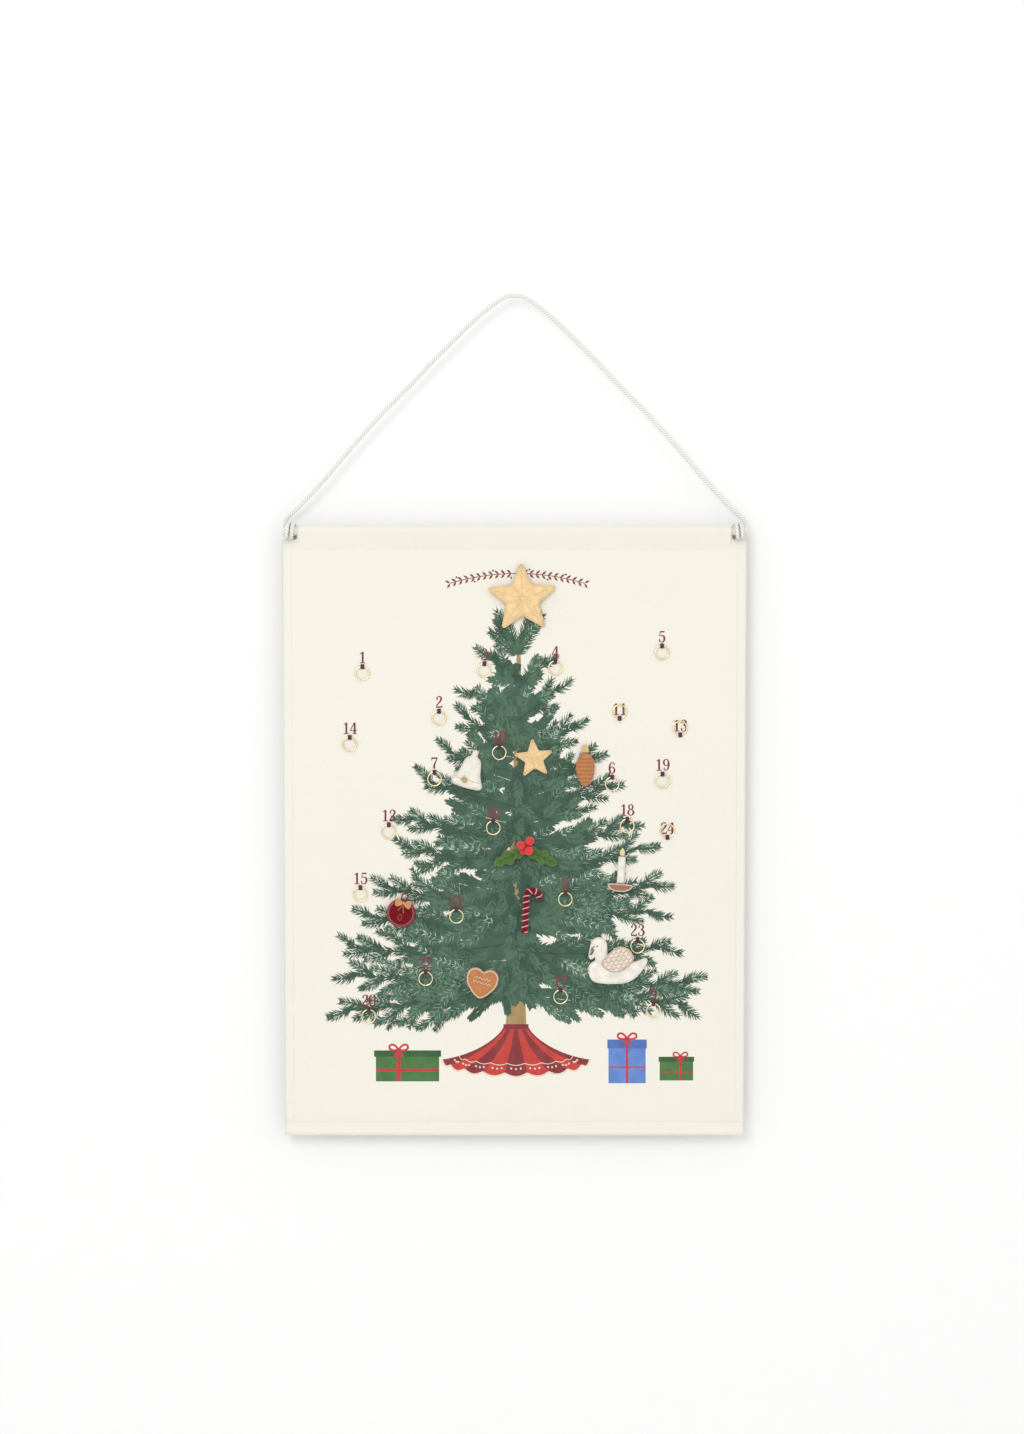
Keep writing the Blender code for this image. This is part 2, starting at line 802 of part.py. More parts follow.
def heart_outline():
    """The cosine heart, stretched to the width and height asked for."""
    waves = (13, -5, -2, -1)
    turns = [2 * math.pi * point / heart_points for point in range(heart_points)]
    rises = [sum(wave * math.cos((order + 1) * turn) for order, wave in enumerate(waves)) for turn in turns]
    low = min(rises)
    high = max(rises)
    middle = (low + high) / 2
    return [(heart_width / 2 * math.sin(turn) ** 3, heart_height * (rise - middle) / (high - low))
            for turn, rise in zip(turns, rises)]


def flame_outline(rise):
    """A drop with its point at the top; it is widest where the turn's cosine is minus a third."""
    widest = math.acos(-1 / 3)
    widest_reach = math.sin(widest) * math.sin(widest / 2)
    outline = []
    for point in range(flame_points):
        turn = 2 * math.pi * point / flame_points
        across = math.sin(turn) * math.sin(turn / 2) / widest_reach
        outline.append((flame_width / 2 * across, rise + flame_height / 2 * math.cos(turn)))
    return outline


def inset_pad_mesh(name, outline, back, side, crown, rim_inset):
    """Stuffed felt for an outline with a neck: the rim is drawn in by the same distance all round."""
    bm = bmesh.new()
    base = bm.faces.new([bm.verts.new((x, back, z)) for x, z in outline])
    made = bmesh.ops.extrude_face_region(bm, geom=[base], use_keep_orig=True)
    front = next(item for item in made["geom"] if isinstance(item, bmesh.types.BMFace))
    bmesh.ops.translate(bm, vec=(0, -side, 0), verts=front.verts)
    bmesh.ops.recalc_face_normals(bm, faces=bm.faces)
    for step in range(1, rim_steps):
        now, before = (math.pi / 2 * count / (rim_steps - 1) for count in (step, step - 1))
        bmesh.ops.inset_region(
            bm, faces=[front], use_even_offset=True,
            thickness=rim_inset * (math.cos(before) - math.cos(now)),
            depth=crown * (math.sin(now) - math.sin(before)))
    return finished_mesh(bm, name)


def add_ornament_frame(name):
    across, up = place_on_cloth(ornament_place_shares[name])
    return add_empty(f"{name}_place", (across, 0, up), ornament_tilts_deg.get(name, 0))


def add_padded(name, frame, colour, outline, middle, plateau_share, back=ornament_back, **depths):
    mesh = padded_mesh(name, outline, middle, plateau_share, back, **depths)
    return add_object(name, mesh, colour, parent=frame)


def add_hook_dot(name, frame):
    diameter, across, up = fastener_dots[name]
    back = cloth_front - loop_dot_thickness - seat_gap
    node = f"{name}_dot"
    dot = disc_mesh(node, diameter, back, hook_dot_thickness, across, up)
    add_object(node, dot, hook_white, parent=frame)


def build_stars():
    frame = add_ornament_frame("star_topper")
    outline = star_outline(topper_radius, topper_valley, topper_tip_round)
    add_padded("star_topper", frame, felt_gold, outline, (0, 0), star_plateau_share)
    add_hook_dot("star_topper", frame)

    frame = add_ornament_frame("small_star")
    outline = star_outline(small_star_radius, small_star_valley, small_star_tip_round)
    add_padded("small_star", frame, felt_gold, outline, (0, 0), star_plateau_share, crown=small_star_crown)
    add_hook_dot("small_star", frame)


def build_bell():
    frame = add_ornament_frame("bell")
    add_padded("bell_body", frame, felt_ivory, bell_outline(), (0, 0), bell_plateau_share)
    clapper = circle_outline(bell_clapper_diameter, dot_sides)
    place = (bell_clapper_across, bell_clapper_rise - bell_height / 2)
    outline = [(x + place[0], z + place[1]) for x, z in clapper]
    front = ornament_back - felt_side - felt_crown - seat_gap
    add_padded("bell_clapper", frame, felt_gilt, outline, place, clapper_plateau_share, back=front,
               side=thin_felt / 2, crown=thin_felt)
    add_hook_dot("bell", frame)


def build_pinecone():
    frame = add_ornament_frame("pinecone")
    add_padded("pinecone_body", frame, felt_brown, cone_outline(), (0, 0), cone_plateau_share)
    foot = cone_height / 2 + seat_gap
    half = cone_cap_width / 2
    corners = [(-half, foot), (half, foot), (half * cone_cap_taper_share, foot + cone_cap_height),
               (-half * cone_cap_taper_share, foot + cone_cap_height)]
    outline = round_corners(corners, thin_felt, corner_steps)
    middle = (0, foot + cone_cap_height / 2)
    add_padded("pinecone_cap", frame, felt_gilt, outline, middle, cone_cap_plateau_share, crown=thin_felt)
    add_hook_dot("pinecone", frame)


def build_holly():
    frame = add_ornament_frame("holly")
    for name, side in (("holly_leaf_left", -1), ("holly_leaf_right", 1)):
        add_padded(name, frame, felt_leaf, leaf_outline(side), leaf_middle(side), leaf_plateau_share,
                   side=leaf_side, crown=leaf_crown)
    pad_back = ornament_back - leaf_side - leaf_crown - seat_gap
    pad = disc_mesh("holly_berries", berry_pad_diameter, pad_back, thin_felt, up=berry_pad_rise)
    berries = add_object("holly_berries", pad, felt_berry, parent=frame)
    balls = bmesh.new()
    for berry in range(berry_count):
        angle = math.radians(berry_first_deg) + 2 * math.pi * berry / berry_count
        made = bmesh.ops.create_uvsphere(
            balls, u_segments=berry_sides, v_segments=berry_bands, radius=berry_diameter / 2)
        place = Vector((
            berry_cluster_across + berry_spread * math.cos(angle),
            pad_back - berry_diameter / 2,
            berry_cluster_rise + berry_spread * math.sin(angle)))
        bmesh.ops.translate(balls, vec=place, verts=made["verts"])
    add_union(berries, "berry_balls", finished_mesh(balls, "berry_balls"))
    add_hook_dot("holly", frame)


def build_candy_cane():
    """A round stem with a hook: straight points, then an arc over the top."""
    frame = add_ornament_frame("candy_cane")
    depth = ornament_back - cane_thickness / 2
    foot = -cane_stem / 2
    rises = [foot, foot + cane_end_round]
    rises += [foot + cane_stem * step / cane_stem_steps for step in range(1, cane_stem_steps)]
    points = [(0, depth, rise) for rise in rises]
    turn = math.radians(cane_hook_turn_deg)
    end_turn = cane_end_round / cane_hook_radius
    bends = [(turn - end_turn) * step / cane_arc_steps for step in range(cane_arc_steps + 1)] + [turn]
    for bend in bends:
        across = cane_hook_radius * (1 - math.cos(bend))
        points.append((across, depth, cane_stem / 2 + cane_hook_radius * math.sin(bend)))
    radii_shares = [1.0] * len(points)
    radii_shares[0] = radii_shares[-1] = cane_end_share
    tube("candy_cane", np.array(points), cane_thickness, felt_cane, cane_bevel_level, radii_shares, frame)
    add_hook_dot("candy_cane", frame)


def build_bauble():
    frame = add_ornament_frame("bauble")
    outline = circle_outline(bauble_diameter, bauble_points)
    add_padded("bauble_body", frame, felt_wine, outline, (0, 0), bauble_plateau_share)
    back = ornament_back - felt_side - felt_crown - seat_gap
    corners = scaled(bow_outline_shares, bow_width / 2, bow_height / 2, up=bow_rise)
    outline = round_corners(corners, bow_corner, small_corner_steps)
    bow = add_padded("bauble_bow", frame, felt_gilt, outline, (0, bow_rise), bow_plateau_share, back=back,
                     side=bow_side, crown=bow_crown)
    hoop = bmesh.new()
    add_hoop(hoop, bauble_loop_width / 2, bauble_loop_height / 2, bauble_loop_cord, bauble_loop_sides,
             bauble_loop_cord_sides, back - bow_side, bow_rise + bauble_loop_height / 2)
    add_union(bow, "bauble_loop", finished_mesh(hoop, "bauble_loop"))
    add_hook_dot("bauble", frame)


def build_heart():
    frame = add_ornament_frame("heart")
    add_padded("heart_body", frame, felt_brown, heart_outline(), (0, 0), heart_plateau_share)
    add_hook_dot("heart", frame)


def build_swan():
    frame = add_ornament_frame("swan")
    corner = (-swan_width / 2, -swan_height / 2)
    outline = scaled(swan_outline_shares, swan_width, swan_height, *corner)
    outline = smooth_points(outline, outline_steps_per_point, closed=True)
    body = inset_pad_mesh("swan_body", outline, ornament_back, felt_side, swan_crown, swan_rim_inset)
    add_object("swan_body", body, felt_ivory, parent=frame)
    corner = (wing_across - wing_width / 2, wing_rise - wing_height / 2)
    outline = scaled(wing_outline_shares, wing_width, wing_height, *corner)
    outline = smooth_points(outline, outline_steps_per_point, closed=True)
    back = ornament_back - felt_side - swan_crown - seat_gap
    middle = (wing_across, wing_rise)
    add_padded("swan_wing", frame, felt_wing, outline, middle, wing_plateau_share, back=back,
               side=wing_side, crown=wing_crown)
    add_hook_dot("swan", frame)


def build_candle():
    frame = add_ornament_frame("candle")
    half = candle_width / 2
    foot = -candle_height / 2
    corners = [(-half, foot), (half, foot), (half, -foot), (-half, -foot)]
    outline = round_corners(corners, candle_corner, corner_steps)
    add_padded("candle_stick", frame, felt_ivory, outline, (0, 0), candle_plateau_share)
    flame_rise = candle_height / 2 + seat_gap + flame_height / 2
    outline = flame_outline(flame_rise)
    middle = (0, flame_rise)
    add_padded("candle_flame", frame, felt_flame, outline, middle, flame_plateau_share, crown=thin_felt)
    top = foot - seat_gap
    turns = [math.pi * point / dish_points for point in range(dish_points + 1)]
    outline = [(dish_width / 2 * math.cos(turn), top - dish_height * math.sin(turn)) for turn in turns]
    add_padded("candle_dish", frame, felt_dish, outline, (0, top - dish_height / 2), dish_plateau_share)
    add_hook_dot("candle", frame)


def build():
    clear_scene()
    build_cloth_panel()
    build_casing("top_casing", top_rod_radius, top_rod_height, top_seam, top_casing_half)
    build_casing("foot_casing", foot_rod_radius, foot_rod_height, foot_seam, cloth_foot_width / 2)
    build_rod("top_rod", top_rod_radius, top_rod_height, cloth_width / 2 - rod_end_inset)
    build_rod("foot_rod", foot_rod_radius, foot_rod_height, cloth_foot_width / 2 - foot_rod_inset)
    build_cord()
    build_rings()
    build_stars()
    build_bell()
    build_pinecone()
    build_holly()
    build_candy_cane()
    build_bauble()
    build_heart()
    build_swan()
    build_candle()


build()
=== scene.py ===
# %% [markdown]
# # A fabric advent calendar, dressed for its picture
# The calendar is a canvas sheet that hangs from a wooden rod by a cotton cord. A fir tree is printed on it.
# Twenty-four brass rings hang from sewn thread loops, and ten felt ornaments hold on with fastener dots.
# The CAD model gives every place. This script puts real surfaces on it: weave, stitches, braid, felt.

# %% Load the frame
import json
import math

import bpy
import bmesh
import numpy as np
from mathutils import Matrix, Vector
from mathutils.geometry import delaunay_2d_cdt

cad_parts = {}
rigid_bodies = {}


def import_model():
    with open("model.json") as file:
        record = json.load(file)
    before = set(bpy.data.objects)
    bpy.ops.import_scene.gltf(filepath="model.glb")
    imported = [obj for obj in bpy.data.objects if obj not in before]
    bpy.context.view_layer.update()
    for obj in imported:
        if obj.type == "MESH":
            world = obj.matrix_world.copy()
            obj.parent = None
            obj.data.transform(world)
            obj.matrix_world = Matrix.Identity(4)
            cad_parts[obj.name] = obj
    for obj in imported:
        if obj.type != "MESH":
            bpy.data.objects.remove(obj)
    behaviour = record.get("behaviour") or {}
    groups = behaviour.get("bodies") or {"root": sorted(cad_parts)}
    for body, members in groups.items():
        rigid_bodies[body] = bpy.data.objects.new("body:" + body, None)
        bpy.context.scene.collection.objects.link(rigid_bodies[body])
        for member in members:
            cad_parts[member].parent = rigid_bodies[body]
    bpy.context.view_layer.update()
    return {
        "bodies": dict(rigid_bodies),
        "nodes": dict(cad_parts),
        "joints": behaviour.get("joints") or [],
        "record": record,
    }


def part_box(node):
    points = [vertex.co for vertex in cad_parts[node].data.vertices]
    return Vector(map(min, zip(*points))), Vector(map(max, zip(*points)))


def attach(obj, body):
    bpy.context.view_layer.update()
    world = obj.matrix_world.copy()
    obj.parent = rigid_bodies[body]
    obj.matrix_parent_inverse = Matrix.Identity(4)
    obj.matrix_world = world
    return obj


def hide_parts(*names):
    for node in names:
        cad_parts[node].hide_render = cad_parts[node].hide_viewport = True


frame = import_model()

# %% [markdown]
# The sizes below are in metres. They are the CAD model's, apart from how far the seams pull the cloth back.
# The origin is where the cord rests on its nail.
# The cloth hangs in the plane y = 0 and its front looks along -Y, so smaller y is nearer to the viewer.

# %% Sizes shared by the pieces
CLOTH_HALF = 0.250
FOOT_HALF = 0.2465
TOP_EDGE = -0.2439
CLOTH_HEIGHT = 0.656
CLOTH = 0.0008
FRONT = -CLOTH / 2
TOP_ROD_Z, TOP_ROD_R = -0.2501, 0.005
FOOT_ROD_Z, FOOT_ROD_R = -0.8957, 0.003
ROD_PLAY = 0.0004
TOP_SEAM, FOOT_SEAM = -0.2689, -0.8859
CASING_HALF = 0.2335
FLAP_TOP = -0.2602
RING_WIRE = 0.0015
RING_Y = FRONT - 0.0002 - RING_WIRE / 2
RING_R = 0.00725
SEAM_DIP, DIP_REACH = 0.0014, 0.008
ORNAMENT_BACK = -0.0028
TURN = 2 * math.pi


def smooth_step(value, low, high):
    """Zero below low, one above high, and an S-curve between them: 3t² - 2t³ of the share t."""
    t = np.clip((value - low) / (high - low), 0, 1)
    return t * t * (3 - 2 * t)


def cloth_wave(x, z):
    """Soft waves of hanging cloth, in metres of y: two slow sines that fade out at both casings, where each
    sewn seam pulls the cloth back by depth·exp(-(distance/reach)²).
    They only lean away from the viewer, so the rings in front of the cloth keep their room."""
    held = smooth_step(z, FOOT_SEAM, FOOT_SEAM + 0.06) * (1 - smooth_step(z, TOP_SEAM - 0.06, TOP_SEAM))
    slow = 0.00013 * (1 + np.sin(TURN * (x / 0.23 + z / 0.9) + 0.7))
    cross = 0.00006 * (1 + np.sin(TURN * (z / 0.19 - x / 0.5) + 2.1))
    dip = np.exp(-((z - TOP_SEAM) / DIP_REACH) ** 2) + np.exp(-((z - FOOT_SEAM) / DIP_REACH) ** 2)
    return held * (slow + cross) + SEAM_DIP * dip


def cloth_edge(z):
    """Half the cloth's width at a height: it narrows evenly towards the foot."""
    return CLOTH_HALF + (FOOT_HALF - CLOTH_HALF) * (TOP_EDGE - z) / CLOTH_HEIGHT

# %% [markdown]
# ## Camera, light and the wall
# The photograph was taken straight on, at the height of the object's middle, from far enough away that nothing
# looks wider near the edges. Four metres and a long lens do that. The lens follows from similar triangles:
# sensor size over focal length equals picture height over distance.

# %% Camera
PICTURE_HEIGHT = 1.5416
CAMERA_DISTANCE = 4.0
SENSOR = 36.0
PICTURE_X, PICTURE_Z = -0.0027, -0.4503
camera_data = bpy.data.cameras.new("camera")
camera_data.sensor_width = SENSOR
camera_data.lens = SENSOR * CAMERA_DISTANCE / PICTURE_HEIGHT
camera = bpy.data.objects.new("camera", camera_data)
camera.location = (PICTURE_X, -CAMERA_DISTANCE, PICTURE_Z)
camera.rotation_euler = (math.pi / 2, 0, 0)
bpy.context.scene.collection.objects.link(camera)
bpy.context.scene.camera = camera
print("lens", round(camera_data.lens, 1), "mm")

# %% [markdown]
# Materials come from one small helper that adds a node and wires its inputs, so that each finish can be read as
# a short recipe. Colours are given as they look in the photograph and divided by the brightness of the light.

# %% Material helpers
LIGHT = 1.28
WEAVE_PITCH = 0.0011
INK_UNEVEN = 0.12


def tone(red, green, blue):
    """The linear colour of a surface that looks like this 0-255 colour under the scene's light."""
    srgb = np.array([red, green, blue]) / 255
    linear = np.where(srgb <= 0.04045, srgb / 12.92, ((srgb + 0.055) / 1.055) ** 2.4)
    return (*(linear / LIGHT), 1.0)


def shaded(colour, factor, lift=0.0):
    """The same colour, brighter or darker, and at most one in each channel."""
    return tuple(min(1.0, c * factor + lift) for c in colour[:3]) + (1.0,)


class Finish:
    """A Principled material and a helper that adds nodes to it."""

    def __init__(self, name, roughness=0.9, **uniform):
        self.material = bpy.data.materials.new(name)
        self.material.use_nodes = True
        self.tree = self.material.node_tree
        self.shader = self.tree.nodes["Principled BSDF"]
        self.shader.inputs["Roughness"].default_value = roughness
        for socket, value in uniform.items():
            self.shader.inputs[socket.replace("_", " ")].default_value = value

    def node(self, kind, out=0, settings=(), **inputs):
        """Adds a node, sets its settings, fills inputs i0, i1 … or named ones, and returns an output."""
        node = self.tree.nodes.new("ShaderNode" + kind)
        for key, value in dict(settings).items():
            setattr(node, key, value)
        for key, value in inputs.items():
            place = int(key[1:]) if key[0] == "i" and key[1:].isdigit() else key
            if hasattr(value, "is_output"):
                self.tree.links.new(value, node.inputs[place])
            else:
                node.inputs[place].default_value = value
        return node.outputs[out]

    def math(self, operation, first, second=0.0):
        return self.node("Math", settings={"operation": operation}, i0=first, i1=second)

    def place(self, uv=None):
        """Object coordinates, or a UV map's."""
        if uv:
            return self.node("UVMap", settings={"uv_map": uv})
        return self.node("TexCoord", out=3)

    def noise(self, place, scale, detail=3.0, roughness=0.6):
        return self.node("TexNoise", Vector=place, Scale=scale, Detail=detail, Roughness=roughness)

    def mix(self, share, first, second):
        return self.node("Mix", out=2, settings={"data_type": "RGBA"}, i0=share, i6=first, i7=second)

    def split(self, vector):
        """A vector's three numbers, each as an output."""
        parts = self.tree.nodes.new("ShaderNodeSeparateXYZ")
        self.tree.links.new(vector, parts.inputs[0])
        return parts.outputs

    def spread(self, value, low, high):
        """Maps a noise's usual range to a narrow one."""
        return self.node("MapRange", Value=value, i1=0.3, i2=0.7, i3=low, i4=high)

    def bump(self, height, strength, depth):
        made = self.node("Bump", Strength=strength, Distance=depth, Height=height)
        self.tree.links.new(made, self.shader.inputs["Normal"])

    def colour(self, value):
        self.tree.links.new(value, self.shader.inputs["Base Color"])

    def rough(self, value):
        self.tree.links.new(value, self.shader.inputs["Roughness"])


def weave_height(finish, place, pitch):
    """Plain weave: the sine across times the sine up, so threads rise in turn like a chessboard."""
    waves = [finish.math("SINE", finish.math("MULTIPLY", part, TURN / pitch)) for part in finish.split(place)[:2]]
    return finish.math("MULTIPLY", *waves)


def woven(name, colour):
    """Cotton canvas: weave in the bump, slubs and a faint mottling in the colour, and painted shade in the colour
    where the threads dip.
    """
    finish = Finish(name, 0.88, Sheen_Weight=0.12, Sheen_Roughness=0.5)
    place = finish.place("weave")
    threads = weave_height(finish, place, WEAVE_PITCH)
    slubs = finish.noise(finish.node("Mapping", Vector=place, Scale=(60, 900, 1)), 1.0, 2.0)
    clouds = finish.noise(place, 7.0, 4.0)
    mottled = finish.mix(finish.spread(clouds, 0.0, 0.35), colour, shaded(colour, 0.93))
    # Painted shade: the colour darkens in the weave's valleys, where the threads dip.
    shade = finish.math("MULTIPLY", finish.math("SUBTRACT", 1.0, threads), 0.16)
    finish.colour(finish.mix(shade, mottled, shaded(colour, 0.86)))
    finish.rough(finish.spread(slubs, 0.82, 0.94))
    finish.bump(finish.math("ADD", threads, finish.math("MULTIPLY", slubs, 1.5)), 0.55, 0.00012)
    return finish.material


def ink(name, colour):
    """Screen ink that has soaked into canvas: the weave shows through, and the ink is a little uneven."""
    finish = Finish(name, 0.85)
    place = finish.place()
    flat = finish.node("Mapping", Vector=place, Rotation=(-math.pi / 2, 0, 0))
    threads = weave_height(finish, flat, WEAVE_PITCH)
    patches = finish.noise(place, 90.0, 3.0)
    pale, deep = shaded(colour, 1 + INK_UNEVEN, 0.01), shaded(colour, 1 - INK_UNEVEN)
    finish.colour(finish.mix(finish.spread(patches, 0.0, 1.0), deep, pale))
    finish.bump(threads, 0.4, 0.00008)
    return finish.material


def felt(name, colour, fibre=1500.0, depth=0.00025, fuzz=0.35, gloss=0.5):
    """Pressed wool felt: short fibres in the bump, soft clouds in the colour and a dull sheen."""
    finish = Finish(name, 0.95, Sheen_Weight=fuzz, Sheen_Roughness=0.6, Specular_IOR_Level=gloss)
    place = finish.place()
    stretched = finish.node("Mapping", Vector=place, Scale=(1.0, 0.45, 1.6))
    fibres = finish.noise(stretched, fibre, 4.0, 0.7)
    clouds = finish.noise(place, 120.0, 3.0)
    deep = shaded(colour, 0.80)
    base = finish.mix(finish.spread(clouds, 0.0, 1.0), deep, shaded(colour, 1.10))
    finish.colour(finish.mix(finish.spread(fibres, 0.0, 0.45), base, deep))
    finish.bump(fibres, 0.5, depth)
    return finish.material


def thread(name, colour, twist=1500.0, across=2.0, shine=0.5, depth=0.00012):
    """Spun or embroidered thread: slanting ridges that follow the piece's own map, along u and round v. The colour is
    painted darker in the grooves between the ridges, as shade.
    """
    finish = Finish(name, shine, Sheen_Weight=0.2, Sheen_Roughness=0.4)
    parts = finish.split(finish.place("path"))
    run = finish.math("MULTIPLY", parts[0], twist * TURN)
    turn = finish.math("MULTIPLY", parts[1], across * TURN)
    ridges = finish.math("SINE", finish.math("ADD", run, turn))
    # Painted shade: the colour darkens in the grooves between the ridges and is palest on their tops.
    share = finish.node("MapRange", Value=ridges, i1=-1.0, i2=0.6, i3=0.0, i4=1.0)
    uneven = finish.noise(finish.place(), 260.0, 2.0)
    pale = finish.mix(finish.spread(uneven, 0.0, 0.5), colour, shaded(colour, 0.85))
    finish.colour(finish.mix(share, shaded(colour, 0.68), pale))
    finish.bump(ridges, 0.6, depth)
    return finish.material

# %% [markdown]
# The wall is only there to catch a soft shadow. It is one-sided: seen from behind it is clear, so the back of the
# calendar can be looked at too. Shadow rays pass through it, so the lamp behind it lights the back of the cloth.
# The floor is plain and pale, and lies below the picture.

# %% Wall, floor and lamps
WALL_Y = 0.021
WALL_HALF = 4.0
FLOOR_Z = -1.36


def stage_sheet(name, corners, colour, one_sided):
    """A flat four-cornered sheet. A one-sided one is clear from behind and lets shadow rays through."""
    mesh = bpy.data.meshes.new(name)
    mesh.from_pydata(corners, [], [(0, 1, 2, 3)])
    finish = Finish(name, 1.0)
    finish.shader.inputs["Base Color"].default_value = colour
    finish.shader.inputs["Specular IOR Level"].default_value = 0.0
    if one_sided:
        output = finish.tree.nodes["Material Output"]
        clear = finish.node("BsdfTransparent")
        behind = finish.node("NewGeometry", out=6)
        sided = finish.node("MixShader", i0=behind, i1=finish.shader.outputs[0], i2=clear)
        finish.tree.links.new(sided, output.inputs[0])
    mesh.materials.append(finish.material)
    sheet = bpy.data.objects.new(name, mesh)
    bpy.context.scene.collection.objects.link(sheet)
    sheet.visible_shadow = not one_sided


stage_sheet("wall", [(-WALL_HALF, WALL_Y, FLOOR_Z), (WALL_HALF, WALL_Y, FLOOR_Z),
                     (WALL_HALF, WALL_Y, WALL_HALF), (-WALL_HALF, WALL_Y, WALL_HALF)], (0.765, 0.765, 0.765, 1), True)
stage_sheet("floor", [(-WALL_HALF, -2 * WALL_HALF, FLOOR_Z), (WALL_HALF, -2 * WALL_HALF, FLOOR_Z),
                      (WALL_HALF, 2 * WALL_HALF, FLOOR_Z), (-WALL_HALF, 2 * WALL_HALF, FLOOR_Z)],
            (0.86, 0.86, 0.85, 1), False)


def soft_lamp(name, place, aim, size, watts):
    """A square area lamp that looks at a point."""
    data = bpy.data.lights.new(name, "AREA")
    data.size = size
    data.energy = watts
    lamp = bpy.data.objects.new(name, data)
    lamp.location = place
    lamp.rotation_euler = (Vector(aim) - Vector(place)).to_track_quat("-Z", "Y").to_euler()
    bpy.context.scene.collection.objects.link(lamp)


MIDDLE = (0, 0, -0.55)
soft_lamp("key", (-1.0, -3.4, 0.7), MIDDLE, 1.6, 40)
soft_lamp("fill", (2.0, -2.8, 0.0), MIDDLE, 2.0, 9.5)
soft_lamp("behind", (0.6, 3.0, 0.6), MIDDLE, 2.0, 45)
world = bpy.data.worlds.new("room")
world.use_nodes = True
world.node_tree.nodes["Background"].inputs["Color"].default_value = (1, 1, 1, 1)
world.node_tree.nodes["Background"].inputs["Strength"].default_value = 0.995
bpy.context.scene.world = world
bpy.context.scene.view_settings.view_transform = "Standard"

# %% [markdown]
# ## How pieces are made
# Every new piece is one mesh filled with grids of points. A grid is a surface worked out from two parameters,
# such as "along the cord" and "round the cord". Faces join neighbours in the grid. Where a row shrinks to one
# point, its doubles are merged, so the tip is closed.

# %% The mesh maker


class Form:
    """Collects points, faces and each face corner's place on the pattern, and makes one mesh of them."""

    def __init__(self):
        self.points, self.faces, self.places, self.count = [], [], [], 0

    def add(self, points, faces, places=None):
        """Adds points (n, 3) and faces (f, corners) of their numbers, with places (f, corners, 2)."""
        faces = np.asarray(faces)
        self.points.append(np.asarray(points, dtype=float))
        self.faces.append(faces + self.count)
        self.places.append(np.zeros((*faces.shape, 2)) if places is None else np.asarray(places, dtype=float))
        self.count += len(points)

    def grid(self, points, round_rows=False, round_columns=False, along=None, across=None):
        """A grid (rows, columns, 3): each point joins the next in its row and in its column."""
        rows, columns = points.shape[:2]
        r, c = np.meshgrid(np.arange(rows - (not round_rows)), np.arange(columns - (not round_columns)),
                           indexing="ij")
        corners = [(r, c), (r, c + 1), (r + 1, c + 1), (r + 1, c)]
        faces = np.stack([(a % rows) * columns + b % columns for a, b in corners], axis=-1).reshape(-1, 4)
        along = np.arange(rows + 1) / rows if along is None else np.append(along, 2 * along[-1] - along[-2])
        across = np.arange(columns + 1) / columns if across is None else np.append(across, across[-1])
        places = np.stack([np.stack([along[a], across[b]], -1) for a, b in corners], axis=-2).reshape(-1, 4, 2)
        self.add(points.reshape(-1, 3), faces, places)

    def quads(self, corners, places=None):
        """Loose four-cornered faces, (n, 4, 3)."""
        self.add(corners.reshape(-1, 3), np.arange(len(corners) * 4).reshape(-1, 4), places)

    def join(self, other):
        """Takes in another form's points and faces."""
        self.points += other.points
        self.faces += [block + self.count for block in other.faces]
        self.places += other.places
        self.count += other.count

    def piece(self, name, material, slot, body="hanging", uv=None, replaces=(), merge=True, laid=None):
        """Makes the mesh and object, lets it ride on a body, and prints its size; laid places local points."""
        mesh = bpy.data.meshes.new(name)
        faces = [face for block in self.faces for face in block.tolist()]
        points = np.concatenate(self.points)
        mesh.from_pydata(laid(points) if laid else points, [], faces)
        if uv:
            layer = mesh.uv_layers.new(name=uv)
            layer.uv.foreach_set("vector", np.concatenate([p.reshape(-1, 2) for p in self.places]).ravel())
        if merge:
            bm = bmesh.new()
            bm.from_mesh(mesh)
            bmesh.ops.remove_doubles(bm, verts=bm.verts, dist=2e-7)
            bm.to_mesh(mesh)
            bm.free()
        mesh.shade_smooth()
        mesh.materials.append(material)
        piece = bpy.data.objects.new(name, mesh)
        bpy.context.scene.collection.objects.link(piece)
        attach(piece, body)
        if replaces:
            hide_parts(*replaces)
        print(name, len(mesh.polygons), "faces")
        return piece


def unit(vectors):
    """Vectors scaled to length one."""
    return vectors / np.linalg.norm(vectors, axis=-1, keepdims=True)


def around(count):
    """The angles of so many points spread evenly round a circle."""
    return TURN * np.arange(count) / count


def circle(count):
    """Points round a circle of radius one."""
    return np.column_stack([np.cos(around(count)), np.sin(around(count))])


def run_along(path):
    """Distance along a path up to each of its points."""
    return np.concatenate([[0], np.cumsum(np.linalg.norm(np.diff(path, axis=0), axis=1))])


def smooth_path(points, per_span, closed=False):
    """Catmull-Rom curve: each span is a cubic that passes its two points with their neighbours' slope."""
    points = np.asarray(points, dtype=float)
    count = len(points)
    spans = count if closed else count - 1
    numbers = np.arange(spans)[:, None] + np.array([-1, 0, 1, 2])
    numbers = numbers % count if closed else np.clip(numbers, 0, count - 1)
    p0, p1, p2, p3 = (points[numbers[:, k]][:, None] for k in range(4))
    t = (np.arange(per_span) / per_span)[None, :, None]
    curve = (2 * p1 + (p2 - p0) * t + (2 * p0 - 5 * p1 + 4 * p2 - p3) * t ** 2
             + (3 * p1 - p0 - 3 * p2 + p3) * t ** 3) / 2
    curve = curve.reshape(-1, points.shape[1])
    return curve if closed else np.vstack([curve, points[-1]])


def evenly(path, spacing):
    """The same path with points at equal distances."""
    run = run_along(path)
    wanted = np.linspace(0, run[-1], max(2, int(round(run[-1] / spacing)) + 1))
    return np.stack([np.interp(wanted, run, path[:, axis]) for axis in range(path.shape[1])], axis=1)


